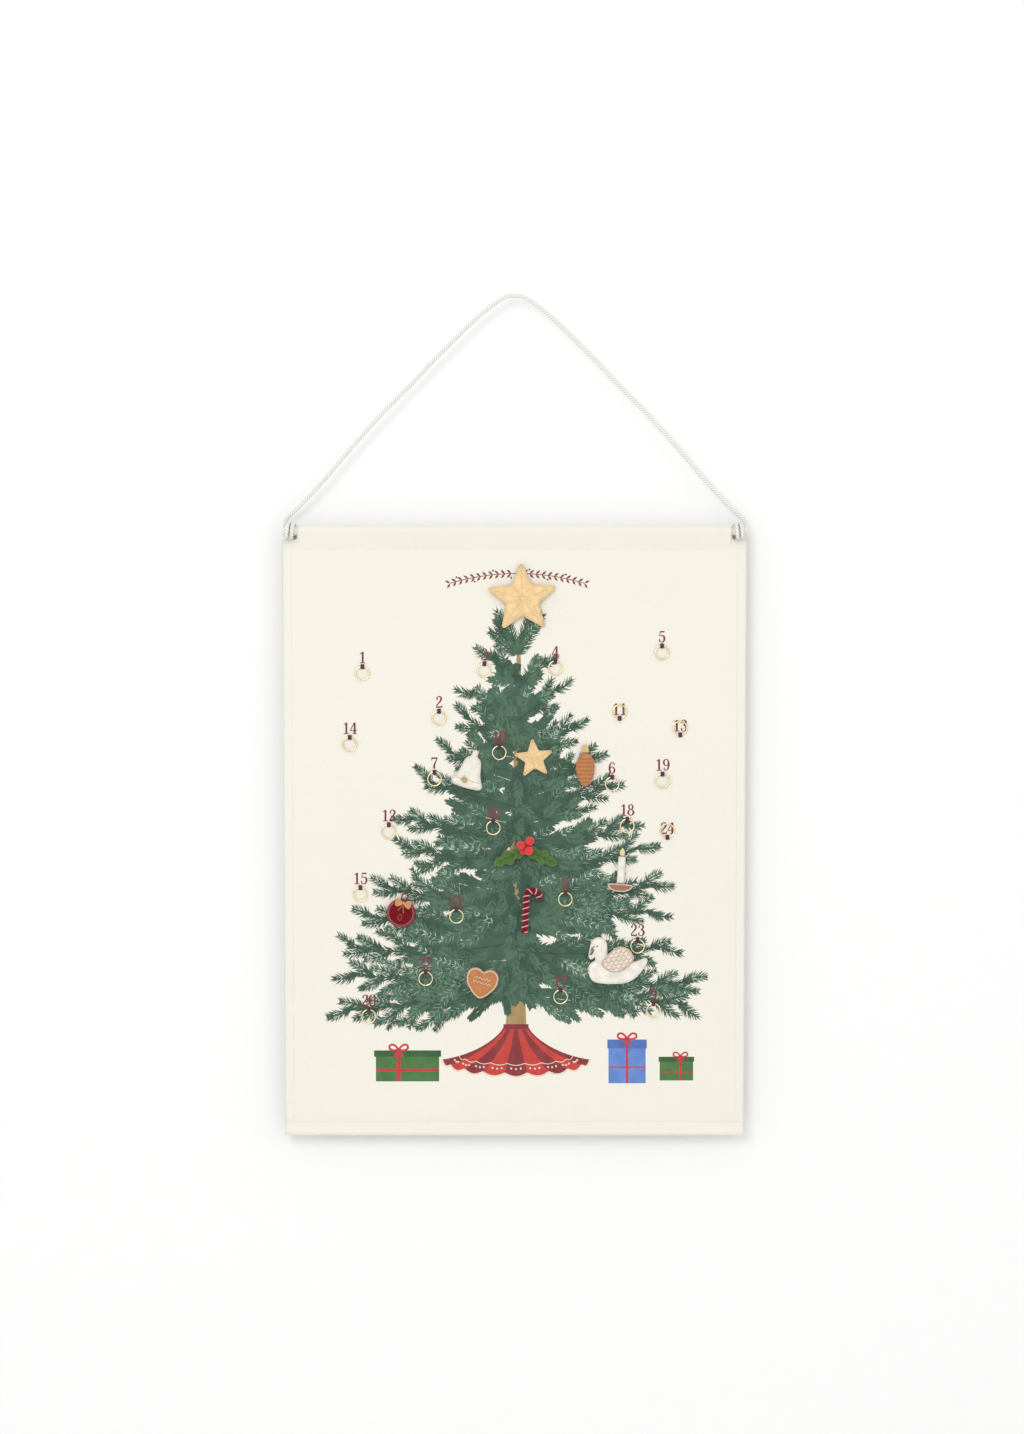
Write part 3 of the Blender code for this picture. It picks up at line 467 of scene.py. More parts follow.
def tube(form, path, radius, sides=8, closed=False, facing=(0, -1, 0), relief=None):
    """A round profile carried along a path: centre + r·(cos·side + sin·normal); relief adds to r."""
    path = np.asarray(path, dtype=float)
    ahead = np.roll(path, -1, axis=0) if closed else np.vstack([path[1:], 2 * path[-1] - path[-2]])
    behind = np.roll(path, 1, axis=0) if closed else np.vstack([2 * path[0] - path[1], path[:-1]])
    along = unit(ahead - behind)
    facing = np.broadcast_to(np.asarray(facing, dtype=float), path.shape)
    side = unit(np.cross(along, facing))
    normal = np.cross(side, along)
    run = run_along(path)
    angle = around(sides)
    radius = np.broadcast_to(np.asarray(radius, dtype=float), (len(path),))[:, None]
    if relief is not None:
        radius = radius + relief(run[:, None], angle[None])
    radius = radius[..., None] * np.ones((1, sides, 1))
    points = (path[:, None] + radius * np.cos(angle)[None, :, None] * side[:, None]
              + radius * np.sin(angle)[None, :, None] * normal[:, None])
    if not closed:
        points = np.concatenate([np.repeat(path[:1, None], sides, 1), points, np.repeat(path[-1:, None], sides, 1)])
        run = np.concatenate([run[:1], run, run[-1:]])
    form.grid(points[:, ::-1], round_rows=closed, round_columns=True, along=run)

# %% [markdown]
# ## The hanging cord
# The cord is one braided cotton cord. It comes out of a double wrap at one end of the rod, goes over the nail,
# and ends in the same wrap at the other side. A cord like this keeps its length, so its route is a chain of
# points from the CAD model on one smooth curve. The braid is real relief: two families of strands wind round the
# cord in opposite directions, and the surface rises where one lies on top.

# %% Route of the cord
CORD = 0.0045
WRAP_R = 0.00755
WRAP_TURNS = 2
WRAP_PITCH = 0.0054
WRAP_OUTER = 0.24705
CORD_END_Z = -0.2448
right_half = np.array([
    (0.00000, 0.00000, 0.00225), (0.01013, 0.00000, 0.00079), (0.02718, 0.00000, -0.01036),
    (0.04669, 0.00000, -0.02710), (0.06522, 0.00000, -0.04529), (0.08844, 0.00000, -0.06833),
    (0.10648, 0.00000, -0.08798), (0.14403, 0.00000, -0.12606), (0.17516, 0.00000, -0.16074),
    (0.20480, 0.00015, -0.19543), (0.22976, 0.00264, -0.22211), (0.23914, 0.00529, -0.23060),
    (0.24507, 0.00702, -0.23618), (0.24705, 0.00755, -0.24030),
])
mirror = np.array([-1, 1, 1])
free_run = smooth_path(np.vstack([right_half[:0:-1] * mirror, right_half]), 24)
turns = np.linspace(0, WRAP_TURNS, 121)
helix = np.column_stack([WRAP_OUTER - WRAP_PITCH * turns, WRAP_R * np.cos(-TURN * turns),
                         TOP_ROD_Z + WRAP_R * np.sin(-TURN * turns)])
tail = np.array([(helix[-1, 0], WRAP_R, TOP_ROD_Z - drop) for drop in (0.002, 0.0045, 0.0075, 0.010)])
right_wrap = np.vstack([[(WRAP_OUTER, WRAP_R, CORD_END_Z)], [(WRAP_OUTER, WRAP_R, -0.2474)], helix, tail])
cord_line = np.vstack([(right_wrap * mirror)[::-1], free_run, right_wrap])
cord_path = evenly(cord_line, 0.00055)

# %% The braid
BRAID_PITCH = 0.0105
STRANDS = 4


def braid(run, angle):
    """Relief of a round braid: the higher of two crossing families of rounded strands."""
    one = np.sin(TURN * run / BRAID_PITCH + angle) * np.cos(STRANDS * (TURN * run / BRAID_PITCH - angle))
    left = np.abs(np.cos(STRANDS / 2 * (angle - TURN * run / BRAID_PITCH)))
    right = np.abs(np.cos(STRANDS / 2 * (angle + TURN * run / BRAID_PITCH)))
    over = smooth_step(np.sin(STRANDS / 2 * angle) * np.sin(STRANDS / 2 * TURN * run / BRAID_PITCH), -0.4, 0.4)
    return CORD * (0.055 * (over * left + (1 - over) * right) - 0.05 + 0.004 * one)


turned = smooth_step(np.abs(cord_path[:, 0]), 0.19, WRAP_OUTER) * (cord_path[:, 2] < 0)
lean = turned[:, None] * math.pi / 2
cord_facing = np.cos(lean) * np.array([0, -1, 0]) + np.sin(lean) * np.array([1, 0, 0])
cord_form = Form()
tube(cord_form, cord_path, CORD / 2, sides=20, facing=cord_facing, relief=braid)
cotton = thread("cotton_cord", tone(253, 252, 246), twist=330.0, across=3.0, shine=0.85, depth=0.0001)
cord_piece = cord_form.piece("hanging_cord_braid", cotton, slot="cord", uv="path",
                             replaces=["hanging_cord", "cord_wrap_left", "cord_wrap_right"])

# %% [markdown]
# ## The canvas
# The sheet is one piece of cloth. Its top edge goes over the rod, comes down the back and is sewn to itself, and
# the foot does the same round a thinner rod. In side view that is one line, so the surface is this line carried
# across the cloth. Beside the top casing the cloth is cut away to let the cord wrap round the rod.

# %% Side view of the sheet
PUCKER = 0.00022
CORNER_R = 0.0036


def pucker(x, z):
    """Small forward bulges along both seams: uneven sines of x that fade with the distance from the seam."""
    near_seam = np.exp(-((z - TOP_SEAM) / 0.006) ** 2) + np.exp(-((z - FOOT_SEAM) / 0.006) ** 2)
    ripple = np.sin(TURN * x / 0.0135 + 2.0 * np.sin(TURN * x / 0.083)) * (1 + np.sin(TURN * x / 0.061))
    return near_seam * PUCKER * (1 + ripple) / 2


def casing_line(rod_z, rod_r, seam_z, way, steps):
    """Front seam, arc round the rod and back seam, as (y, z) pairs; way is 1 over a rod and -1 under one."""
    radius = rod_r + ROD_PLAY + CLOTH / 2
    drop = abs(rod_z - seam_z)
    tilt = math.atan2(-drop, CLOTH / 2)
    tangent = tilt + math.acos(radius / math.hypot(drop, CLOTH / 2))
    arc = np.linspace(math.pi - tangent, tangent, steps)
    loop = np.column_stack([radius * np.cos(arc), rod_z + way * radius * np.sin(arc)])
    return np.vstack([(-CLOTH / 2, seam_z), loop, (CLOTH * 0.55, seam_z)])


top_loop = casing_line(TOP_ROD_Z, TOP_ROD_R, TOP_SEAM, 1, 25)
foot_loop = casing_line(FOOT_ROD_Z, FOOT_ROD_R, FOOT_SEAM, -1, 19)
flap_row = np.array([[np.interp(FLAP_TOP, top_loop[:2, 1], top_loop[:2, 0]), FLAP_TOP]])
panel_z = np.concatenate([TOP_SEAM - np.array([0.0015, 0.003, 0.005, 0.008, 0.012, 0.017]),
                          np.linspace(TOP_SEAM - 0.023, FOOT_SEAM + 0.023, 118),
                          FOOT_SEAM + np.array([0.017, 0.012, 0.008, 0.005, 0.003, 0.0015])])
panel_rows = np.column_stack([np.zeros(len(panel_z)), panel_z])
behind_top = np.array([[0.00095, TOP_SEAM - 0.0025], [0.0010, TOP_SEAM - 0.006]])
behind_foot = np.array([[0.00095, FOOT_SEAM + 0.0025], [0.0010, FOOT_SEAM + 0.005]])
side_line = np.vstack([behind_top[::-1], top_loop[:1:-1], top_loop[1:2], flap_row, top_loop[:1], panel_rows,
                       foot_loop, behind_foot])
seam_row = len(behind_top) + len(top_loop)
flap_top_row = seam_row - 1
foot_row = seam_row + len(panel_rows) + 1
print("side view", len(side_line), "points,", round(run_along(side_line)[-1], 4), "m of cloth")

# %% The sheet itself
beside_share = np.append(np.linspace(0.2338, 0.2378, 9), np.linspace(0.2408, CLOTH_HALF, 4)) / CLOTH_HALF
column_share = np.concatenate([-beside_share[::-1], np.linspace(-0.2335, 0.2335, 187) / CLOTH_HALF, beside_share])
sheet_y, sheet_z = side_line[:, :1], side_line[:, 1:]
half = np.where(sheet_z > TOP_SEAM + 1e-6, CLOTH_HALF, cloth_edge(sheet_z))
sheet_x = column_share[None] * half
narrow = np.abs(column_share) * CLOTH_HALF
run_down = run_along(side_line)
rows = np.arange(len(side_line))[:, None]
sheet_y = sheet_y - pucker(sheet_x, sheet_z) * ((rows >= seam_row - 2) & (rows <= foot_row + 2))
beside = (narrow[None] > CASING_HALF + 0.0001) & (rows < seam_row + 1)
sheet_y = np.where(beside, sheet_y * (1 - smooth_step(narrow[None], CASING_HALF, CASING_HALF + 0.0075)), sheet_y)
flat_rows = (rows <= len(behind_top)) | ((rows >= flap_top_row) & (rows <= foot_row)) | (rows >= len(rows) - 3)
sheet_y = sheet_y + flat_rows * cloth_wave(sheet_x, sheet_z)
from_casing = np.clip((narrow - CASING_HALF) / CORNER_R, 0, 1)
corner_rise = CORNER_R * (1 - np.sqrt(1 - (1 - from_casing) ** 2)) * (narrow > CASING_HALF - 1e-6)
sheet_z = np.where(rows == flap_top_row, sheet_z + corner_rise[None], sheet_z)
sheet_points = np.stack([sheet_x, sheet_y, np.broadcast_to(sheet_z, sheet_x.shape)], axis=-1)

face_row = np.arange(len(side_line) - 1)[:, None]
middle_share = (np.abs(column_share[:-1]) + np.abs(column_share[1:]))[None] * CLOTH_HALF / 2
keep = ~((middle_share > CASING_HALF) & (face_row < flap_top_row)).ravel()
sheet_form = Form()
sheet_form.grid(sheet_points, along=run_down, across=column_share * CLOTH_HALF)
sheet_form.faces[0] = sheet_form.faces[0][keep][:, ::-1]
sheet_form.places[0] = sheet_form.places[0][keep][:, ::-1, ::-1]
canvas = woven("canvas", tone(248, 244, 231))
sheet_piece = sheet_form.piece("canvas_sheet", canvas, slot="canvas", uv="weave",
                               replaces=["cloth_panel", "top_casing", "foot_casing"])
loose = bmesh.new()
loose.from_mesh(sheet_piece.data)
bmesh.ops.delete(loose, geom=[v for v in loose.verts if not v.link_faces], context="VERTS")
loose.to_mesh(sheet_piece.data)
loose.free()
wall_of_cloth = sheet_piece.modifiers.new("thickness", "SOLIDIFY")
wall_of_cloth.thickness = CLOTH
wall_of_cloth.offset = 0.0
wall_of_cloth.use_even_offset = False

# %% Rods
for node, name, grain in (("top_rod", "rod_wood", 1.0), ("foot_rod", "foot_rod_wood", 1.3)):
    finish = Finish(name, 0.55, Coat_Weight=0.15, Coat_Roughness=0.4)
    place = finish.node("Mapping", Vector=finish.place(), Scale=(4 * grain, 130, 130))
    lines = finish.noise(place, 6.0, 5.0)
    finish.colour(finish.mix(finish.spread(lines, 0.0, 1.0), tone(238, 230, 208), tone(250, 245, 230)))
    finish.rough(finish.spread(lines, 0.45, 0.65))
    finish.bump(lines, 0.3, 0.0002)
    for slot in frame["nodes"][node].material_slots:
        slot.material = finish.material

# %% [markdown]
# ## Side hems and stitches
# A cut edge of canvas would fray, so each side is folded to the back and sewn down. The fold is a long bar whose
# profile is a flat strip with a half-round nose, carried down the cloth's edge. Stitches are many copies of one
# small capsule, placed with whole arrays: every copy is centre + length·along + thickness·across.

# %% Side hems
HEM = 0.012
nose = np.linspace(-math.pi / 2, math.pi / 2, 7)
hem_x = np.concatenate([CLOTH * np.cos(nose), [CLOTH - HEM, CLOTH - HEM]]) - CLOTH
hem_y = np.concatenate([CLOTH * (1 + np.sin(nose)), [2 * CLOTH, CLOTH]]) + FRONT
hem_z = np.linspace(FOOT_SEAM + 0.0012, FLAP_TOP, 130)
hem_edge = cloth_edge(hem_z) + 0.0002
for side, name in ((-1, "side_hem_left"), (1, "side_hem_right")):
    x = hem_edge[:, None] + hem_x[None]
    z = np.broadcast_to(hem_z[:, None], x.shape)
    y = hem_y[None] + cloth_wave(side * x, z) + 0.00012 * np.sin(TURN * z / 0.017 + side) * (hem_y[None] > CLOTH)
    rows = np.stack([side * x, y, z], axis=-1)
    ends = rows.mean(axis=1, keepdims=True) * np.ones((1, rows.shape[1], 1))
    rows = np.concatenate([ends[:1], rows, ends[-1:]])
    form = Form()
    form.grid(rows[:, ::-side], round_columns=True, along=np.append(np.append(hem_z[0], hem_z), hem_z[-1]),
              across=np.arange(rows.shape[1] + 1) * 0.003)
    form.piece(name, canvas, slot="canvas", uv="weave")

# %% Stitches
STITCH_SHARES = np.array([-0.5, -0.46, -0.3, 0.0, 0.3, 0.46, 0.5])
STITCH_ROUND = np.array([0.0, 0.62, 0.95, 1.0, 0.95, 0.62, 0.0])
STITCH_SIDES = 6


def stitches(form, centres, along, out, length, thickness):
    """Capsules: each point is centre + share·length·along + radius·(cos·across + sin·out)."""
    count, rows, sides = len(centres), len(STITCH_SHARES), STITCH_SIDES
    centres, along, out = (np.broadcast_to(np.asarray(v, dtype=float), (count, 3)) for v in (centres, along, out))
    across = np.cross(along, out)
    angle = around(sides)
    length = np.broadcast_to(np.asarray(length, dtype=float), (count,))
    ring = (np.cos(angle)[:, None] * across[:, None, None] + np.sin(angle)[:, None] * out[:, None, None])
    reach = (STITCH_SHARES[None, :] * length[:, None])[..., None, None]
    points = (centres[:, None, None] + reach * along[:, None, None]
              + thickness / 2 * STITCH_ROUND[None, :, None, None] * ring)
    number = np.arange(rows * sides).reshape(rows, sides)
    beside = np.roll(number, -1, axis=1)
    one = np.stack([number[:-1], number[1:], beside[1:], beside[:-1]], axis=-1).reshape(-1, 4)
    faces = (one[None] + (np.arange(count) * rows * sides)[:, None, None]).reshape(-1, 4)
    form.add(points.reshape(-1, 3), faces)


STITCH_PITCH, STITCH_LONG, STITCH_THICK = 0.0034, 0.0025, 0.00042
SEAM_BACK = 0.00142
random = np.random.default_rng(24)
seam_stitches = Form()
for seam, half_run in ((TOP_SEAM - 0.0006, 0.232), (FOOT_SEAM + 0.0006, 0.245)):
    x = np.arange(-half_run, half_run, STITCH_PITCH)
    jitter = random.normal(0, 0.00006, (2, len(x)))
    at_top = seam > FOOT_SEAM + HEM
    front_y = np.interp(seam, [TOP_SEAM - 0.0015, TOP_SEAM], [FRONT - 0.0001, -CLOTH]) if at_top else -CLOTH
    for y in (front_y + SEAM_DIP - pucker(x, seam), SEAM_BACK + SEAM_DIP + 0 * x):
        centres = np.column_stack([x, y, seam + jitter[0]])
        lean = unit(np.column_stack([np.ones(len(x)), np.zeros(len(x)), jitter[1] * 900]))
        stitches(seam_stitches, centres, lean, (0, -1, 0), STITCH_LONG, STITCH_THICK)
z = np.arange(FOOT_SEAM + 0.006, FLAP_TOP - 0.004, STITCH_PITCH)
edge = cloth_edge(z) - HEM + 0.0022
for side in (-1, 1):
    for y in (FRONT - 0.00006, 1.5 * CLOTH + 0.0001):
        centres = np.column_stack([side * edge, y + cloth_wave(side * edge, z), z])
        stitches(seam_stitches, centres, (0, 0, 1), (0, -1, 0), STITCH_LONG, STITCH_THICK)
sewing = felt("sewing_thread", tone(240, 236, 222), fibre=5000.0, depth=0.00005)
seam_stitches.piece("seam_stitches", sewing, slot="canvas")

# %% [markdown]
# ## The print
# The tree is not an image. Every needle is one small leaf-shaped face that lies a hair's breadth in front of the
# cloth and follows its waves. Boughs leave the trunk in tiers, twigs leave the boughs, shoots leave the twigs,
# and needles line them all. Each branch is an arc, and its points come from the arc's closed formula, so a whole
# generation of branches is worked out at once.

# %% Printing on the cloth
INK_LIFT = 0.00005
INK_STEP = 0.000015


def print_piece(form, name, ink_material):
    """Makes a piece of printing. Ink is part of the cloth's face, so it casts no shadow of its own."""
    piece = form.piece(name, ink_material, slot="canvas", merge=False)
    piece.visible_shadow = piece.visible_diffuse = False


def printed(flat, layer):
    """Lays (x, z) points on the front of the waving cloth, a layer of ink higher for each number."""
    x, z = flat[..., 0], flat[..., 1]
    return np.stack([x, FRONT + cloth_wave(x, z) - INK_LIFT - INK_STEP * layer, z], axis=-1)


def lay_ink(form, corners, layer):
    """Adds flat (n, 4, 2) faces; those that run clockwise are turned round, so that all look at the viewer."""
    x, z = corners[..., 0], corners[..., 1]
    area = (x * np.roll(z, -1, axis=1) - np.roll(x, -1, axis=1) * z).sum(axis=1)
    form.quads(printed(np.where((area < 0)[:, None, None], corners[:, ::-1], corners), layer))


def patch(form, flat, layer):
    """Inks the cells of a flat grid of points, which are small enough to follow the cloth's waves."""
    cells = np.stack([flat[:-1, :-1], flat[:-1, 1:], flat[1:, 1:], flat[1:, :-1]], axis=2).reshape(-1, 4, 2)
    lay_ink(form, cells, layer)


def ribbon(form, path, half_width, layer, closed=False, smooth=True):
    """A flat stroke: the path carried sideways by its half width, along its own normal."""
    both = np.column_stack([np.asarray(path, dtype=float), np.broadcast_to(half_width, (len(path),))])
    line = smooth_path(both, 6, closed) if smooth else evenly(both, 0.004) if len(both) == 2 else both
    flat, wide = line[:, :2], line[:, 2:]
    if closed:
        ahead = unit(np.roll(flat, -1, axis=0) - np.roll(flat, 1, axis=0))
    else:
        ahead = unit(np.gradient(flat, axis=0))
    sideways = np.column_stack([-ahead[:, 1], ahead[:, 0]])
    if closed:
        flat, wide, sideways = (np.vstack([v, v[:1]]) for v in (flat, wide, sideways))
    left, right = flat + sideways * wide, flat - sideways * wide
    corners = np.stack([right[:-1], right[1:], left[1:], left[:-1]], axis=1)
    lay_ink(form, corners, layer)


def fan(form, outline, layer):
    """A filled shape: faces from the middle of an outline to each of its sides."""
    outline = np.asarray(outline, dtype=float)
    middle = np.broadcast_to(outline.mean(axis=0), outline.shape)
    after = np.roll(outline, -1, axis=0)
    corners = np.stack([middle, outline, (outline + after) / 2, after], axis=1)
    lay_ink(form, corners, layer)

# %% Branches as arcs
TREE_X = 0.0016
TREE_FOOT = -0.7640
FRONT_BOUGHS = 60
TUFT = 0.55


def arc_point(start, heading, bend, length, share):
    """Point and heading at a share of an arc: the integral of (cos, sin) of heading + bend·share."""
    turned = heading + bend * share
    step = length / bend
    point = np.stack([start[..., 0] + step * (np.sin(turned) - np.sin(heading)),
                      start[..., 1] - step * (np.cos(turned) - np.cos(heading))], axis=-1)
    return point, turned


def numbered(count):
    """For so many children of each parent: every child's parent, and its number among its siblings."""
    owner = np.repeat(np.arange(len(count)), count)
    return owner, np.arange(len(owner)) - np.repeat(np.cumsum(count) - count, count)


def shoots(parent, pitch, first, spread, length_share, least):
    """The next generation: a shoot every pitch, left and right in turn, shorter towards its parent's tip."""
    start, heading, bend, length = parent
    count = np.maximum(2, (length * (1 - first) / pitch).astype(int))
    owner, order = numbered(count)
    share = first + (1 - first) * (order + random.uniform(0.2, 0.8, len(owner))) / count[owner]
    point, turned = arc_point(start[owner], heading[owner], bend[owner], length[owner], share)
    side = np.where((order + owner) % 2 == 0, 1, -1)
    angle = turned + side * spread * (1 - 0.40 * share) + random.normal(0, 0.10, len(owner))
    size = (length[owner] * length_share * (1.1 - share) + least) * random.uniform(0.8, 1.15, len(owner))
    return point, angle, -side * random.uniform(0.2, 0.6, len(owner)), size


def cut_back(branches, share):
    """The same branches with only a share of their length."""
    start, heading, bend, length = branches
    return start, heading, bend * share, length * share


def bough_pair(tip_z, reach_share):
    """Boughs to both sides, each an arc whose chord ends at the tree's edge at the height of its tip."""
    sides = []
    for side in (-1, 1):
        tips = tip_z + random.uniform(-0.006, 0.006, len(tip_z))
        reach = np.interp(tips, EDGE_Z, EDGE_REACH) * reach_share * random.uniform(0.90, 1.04, len(tips))
        rise = np.interp(tips, RISE_Z, RISE) + random.normal(0, 0.05, len(tips))
        bend = random.uniform(0.10, 0.50, len(tips))
        heading = rise - bend / 2
        start = np.column_stack([np.full(len(tips), TREE_X), tips - reach * np.tan(rise)])
        sides.append((start, heading if side > 0 else math.pi - heading, side * bend, reach / np.cos(rise)))
    return tuple(np.concatenate(parts) for parts in zip(*sides))


# The tree's edge: how far boughs reach at each height, and how steeply they rise there
EDGE_Z = [-0.775, -0.752, -0.710, -0.660, -0.615, -0.540, -0.464, -0.400, -0.350, -0.335]
EDGE_REACH = [0.165, 0.196, 0.178, 0.158, 0.140, 0.112, 0.066, 0.038, 0.018, 0.010]
RISE_Z = [-0.770, -0.700, -0.600, -0.500, -0.420, -0.350]
RISE = [-0.17, 0.02, 0.16, 0.34, 0.58, 0.95]
boughs = bough_pair(np.linspace(-0.352, TREE_FOOT, 13), 1.0)
inner_boughs = bough_pair(np.linspace(-0.398, TREE_FOOT + 0.010, 15), 0.60)
front_z = np.linspace(-0.392, TREE_FOOT + 0.044, FRONT_BOUGHS)
inwards = (front_z - front_z[0]) / (front_z[-1] - front_z[0])
front_boughs = (np.column_stack([TREE_X + random.normal(0, 0.005, FRONT_BOUGHS), front_z + 0.004]),
                -math.pi / 2 + random.uniform(-1.1, 1.1, FRONT_BOUGHS),
                random.uniform(0.15, 0.5, FRONT_BOUGHS) * random.choice([-1, 1], FRONT_BOUGHS),
                (0.018 + 0.030 * inwards) * random.uniform(0.8, 1.2, FRONT_BOUGHS))
crown = (np.array([[TREE_X + 0.002, -0.384]] * 5), np.array([1.80, 1.35, 2.25, 0.92, 2.60]),
         np.array([0.10, -0.1, -0.2, 0.2, -0.25]), np.array([0.040, 0.040, 0.044, 0.050, 0.034]))
twigs = shoots(boughs, 0.0130, 0.22, 0.84, 0.20, 0.018)
inner_twigs = shoots(inner_boughs, 0.012, 0.12, 0.85, 0.22, 0.014)
front_twigs = shoots(front_boughs, 0.011, 0.2, 0.8, 0.30, 0.010)
side_shoots = shoots(tuple(part[twigs[3] > 0.032] for part in twigs), 0.012, 0.30, 0.75, 0.22, 0.010)
print("boughs", len(boughs[3]), "twigs", len(twigs[3]), "shoots", len(side_shoots[3]))


def needles(form, branches, spacing, long, wide, angle, layer, first=0.0, longest=1.0):
    """Leaf-shaped faces in pairs along each branch, leaning forward; those near the tip close into a tuft."""
    start, heading, bend, length = branches
    count = np.maximum(3, (length * (1 - first) / spacing).astype(int))
    owner, order = numbered(count)
    share = first + (1 - first) * (order + random.uniform(0, 1, len(owner))) / count[owner]
    point, turned = arc_point(start[owner], heading[owner], bend[owner], length[owner], share)
    lean = angle * (1 - (1 - TUFT) * share ** 3) + random.normal(0, 0.10, len(owner))
    size = np.minimum(long, longest * length[owner]) * (1 - 0.30 * share ** 4) * random.uniform(0.75, 1.15,
                                                                                                len(owner))
    both = []
    for side in (-1, 1):
        way = turned + side * lean
        ahead = np.stack([np.cos(way), np.sin(way)], axis=-1)
        across = np.stack([-ahead[:, 1], ahead[:, 0]], axis=-1) * wide / 2
        tip = point + ahead * size[:, None]
        middle = point + ahead * size[:, None] * 0.45
        both.append(np.stack([point, middle - across, tip, middle + across], axis=1))
    corners = np.concatenate(both)
    lay_ink(form, corners, layer + random.uniform(0, 0.9, len(corners))[:, None])


def some(branches, share):
    """A random part of the branches."""
    chosen = random.uniform(0, 1, len(branches[3])) < share
    return tuple(part[chosen] for part in branches)

# %% Needles in five greens
wash = Form()
needles(wash, cut_back(boughs, 0.60), 0.0011, 0.0190, 0.0052, 0.58, 1, longest=0.32)
needles(wash, cut_back(inner_boughs, 0.90), 0.0011, 0.0180, 0.0052, 0.62, 1, longest=0.32)
needles(wash, cut_back(twigs, 0.45), 0.0022, 0.0060, 0.0024, 0.50, 1)
needles(wash, inner_twigs, 0.0022, 0.0100, 0.0036, 0.55, 1)
needles(wash, front_boughs, 0.0012, 0.0140, 0.0056, 0.45, 1)
print_piece(wash, "fir_print_wash", ink("ink_fir_wash", tone(61, 92, 74)))
dark = Form()
for branches in (twigs, side_shoots, boughs, crown):
    needles(dark, branches, 0.0020, 0.0062, 0.0018, 0.07, 2)
needles(dark, twigs, 0.0014, 0.0102, 0.0011, 0.74, 2)
needles(dark, boughs, 0.0015, 0.0105, 0.0012, 0.70, 2, first=0.5)
needles(dark, side_shoots, 0.0015, 0.0082, 0.0010, 0.72, 2)
needles(dark, some(inner_twigs, 0.6), 0.0018, 0.0090, 0.0016, 0.66, 2)
needles(dark, crown, 0.0013, 0.0100, 0.0011, 0.72, 2)
needles(dark, some(front_boughs, 0.7), 0.0018, 0.0100, 0.0018, 0.55, 2)
print_piece(dark, "fir_print_dark", ink("ink_fir_dark", tone(48, 78, 61)))
mid = Form()
needles(mid, some(twigs, 0.8), 0.0036, 0.0098, 0.0011, 0.80, 3, first=0.1)
needles(mid, some(inner_twigs, 0.6), 0.0022, 0.0105, 0.0022, 0.68, 3)
needles(mid, side_shoots, 0.0036, 0.0080, 0.0010, 0.80, 3)
needles(mid, crown, 0.0030, 0.0095, 0.0011, 0.80, 3)
needles(mid, some(front_twigs, 0.7), 0.0024, 0.0085, 0.0018, 0.72, 3)
print_piece(mid, "fir_print_mid", ink("ink_fir_mid", tone(77, 110, 89)))
light = Form()
needles(light, some(twigs, 0.7), 0.0050, 0.0086, 0.0009, 0.86, 4, first=0.25)
needles(light, some(inner_twigs, 0.25), 0.0050, 0.0082, 0.0012, 0.78, 4, first=0.3)
print_piece(light, "fir_print_light", ink("ink_fir_light", tone(124, 156, 134)))
pale = Form()
needles(pale, some(inner_twigs, 0.14), 0.0050, 0.0060, 0.0010, 0.85, 5, first=0.4)
needles(pale, some(twigs, 0.22), 0.0050, 0.0060, 0.0009, 0.85, 5, first=0.3)
print_piece(pale, "fir_print_pale", ink("ink_fir_pale", tone(190, 206, 188)))

# %% Trunk and shoot stems
trunk = Form()
ribbon(trunk, [(TREE_X + 0.003, -0.366), (TREE_X + 0.002, -0.50), (TREE_X - 0.001, -0.66), (TREE_X, -0.752),
               (TREE_X, -0.789)], np.array([0.0018, 0.0048, 0.0080, 0.0100, 0.0114]), 0)
print_piece(trunk, "trunk_print", ink("ink_bark", tone(168, 141, 92)))
stems = Form()
for start, heading, bend, length in zip(*boughs):
    share = np.linspace(0, 0.93, 9)
    line, _ = arc_point(start[None], heading, bend, length, share)
    ribbon(stems, line, np.interp(share, [0, 1], [0.0011, 0.0004]), 0.6, smooth=False)
print_piece(stems, "bough_stem_print", ink("ink_stem", tone(96, 98, 72)))

# %% [markdown]
# A pleated skirt stands at the foot of the tree, and a few parcels lie beside it. They are plain shapes of my own:
# gores of a fan with a scalloped hem, and boxes with a lid, a ribbon and a bow.

# %% Tree skirt
SKIRT_TOP, SKIRT_DEEP = -0.7835, 0.0500
GORES = 9
SKIRT_SWEEP = 1.35
DOT = 0.0011
skirts = {"red": Form(), "wine": Form(), "trim": Form()}
down = np.linspace(0, 1, 15)
for gore in range(GORES):
    across = np.linspace(gore / GORES, (gore + 1) / GORES, 9) * 2 - 1
    local = np.linspace(0, 1, 9)
    wide = 0.0135 + 0.066 * down ** 1.35
    x = TREE_X + wide[:, None] * np.sin(across[None] * SKIRT_SWEEP) / math.sin(SKIRT_SWEEP)
    hem = 1 - 0.30 * across[None] ** 2 + 0.075 * np.sin(math.pi * local)[None]
    z = SKIRT_TOP - SKIRT_DEEP * down[:, None] * (1 + (hem - 1) * down[:, None] ** 1.5)
    flat = np.stack([x, z], axis=-1)
    patch(skirts["red" if gore % 2 else "wine"], flat, 1)
    ribbon(skirts["trim"], flat[-1], 0.0009, 2, smooth=False)
    ribbon(skirts["trim"], flat[-4], 0.0004, 2, smooth=False)
    for share in (0.25, 0.5, 0.75):
        fan(skirts["trim"], flat[-3, int(share * 8)] + DOT * circle(10), 2.5)
ribbon(skirts["wine"], [(TREE_X - 0.0135, SKIRT_TOP + 0.0004), (TREE_X + 0.0135, SKIRT_TOP + 0.0004)], 0.0026, 2,
       smooth=False)
print_piece(skirts["red"], "skirt_print_red", ink("ink_red", tone(196, 62, 52)))
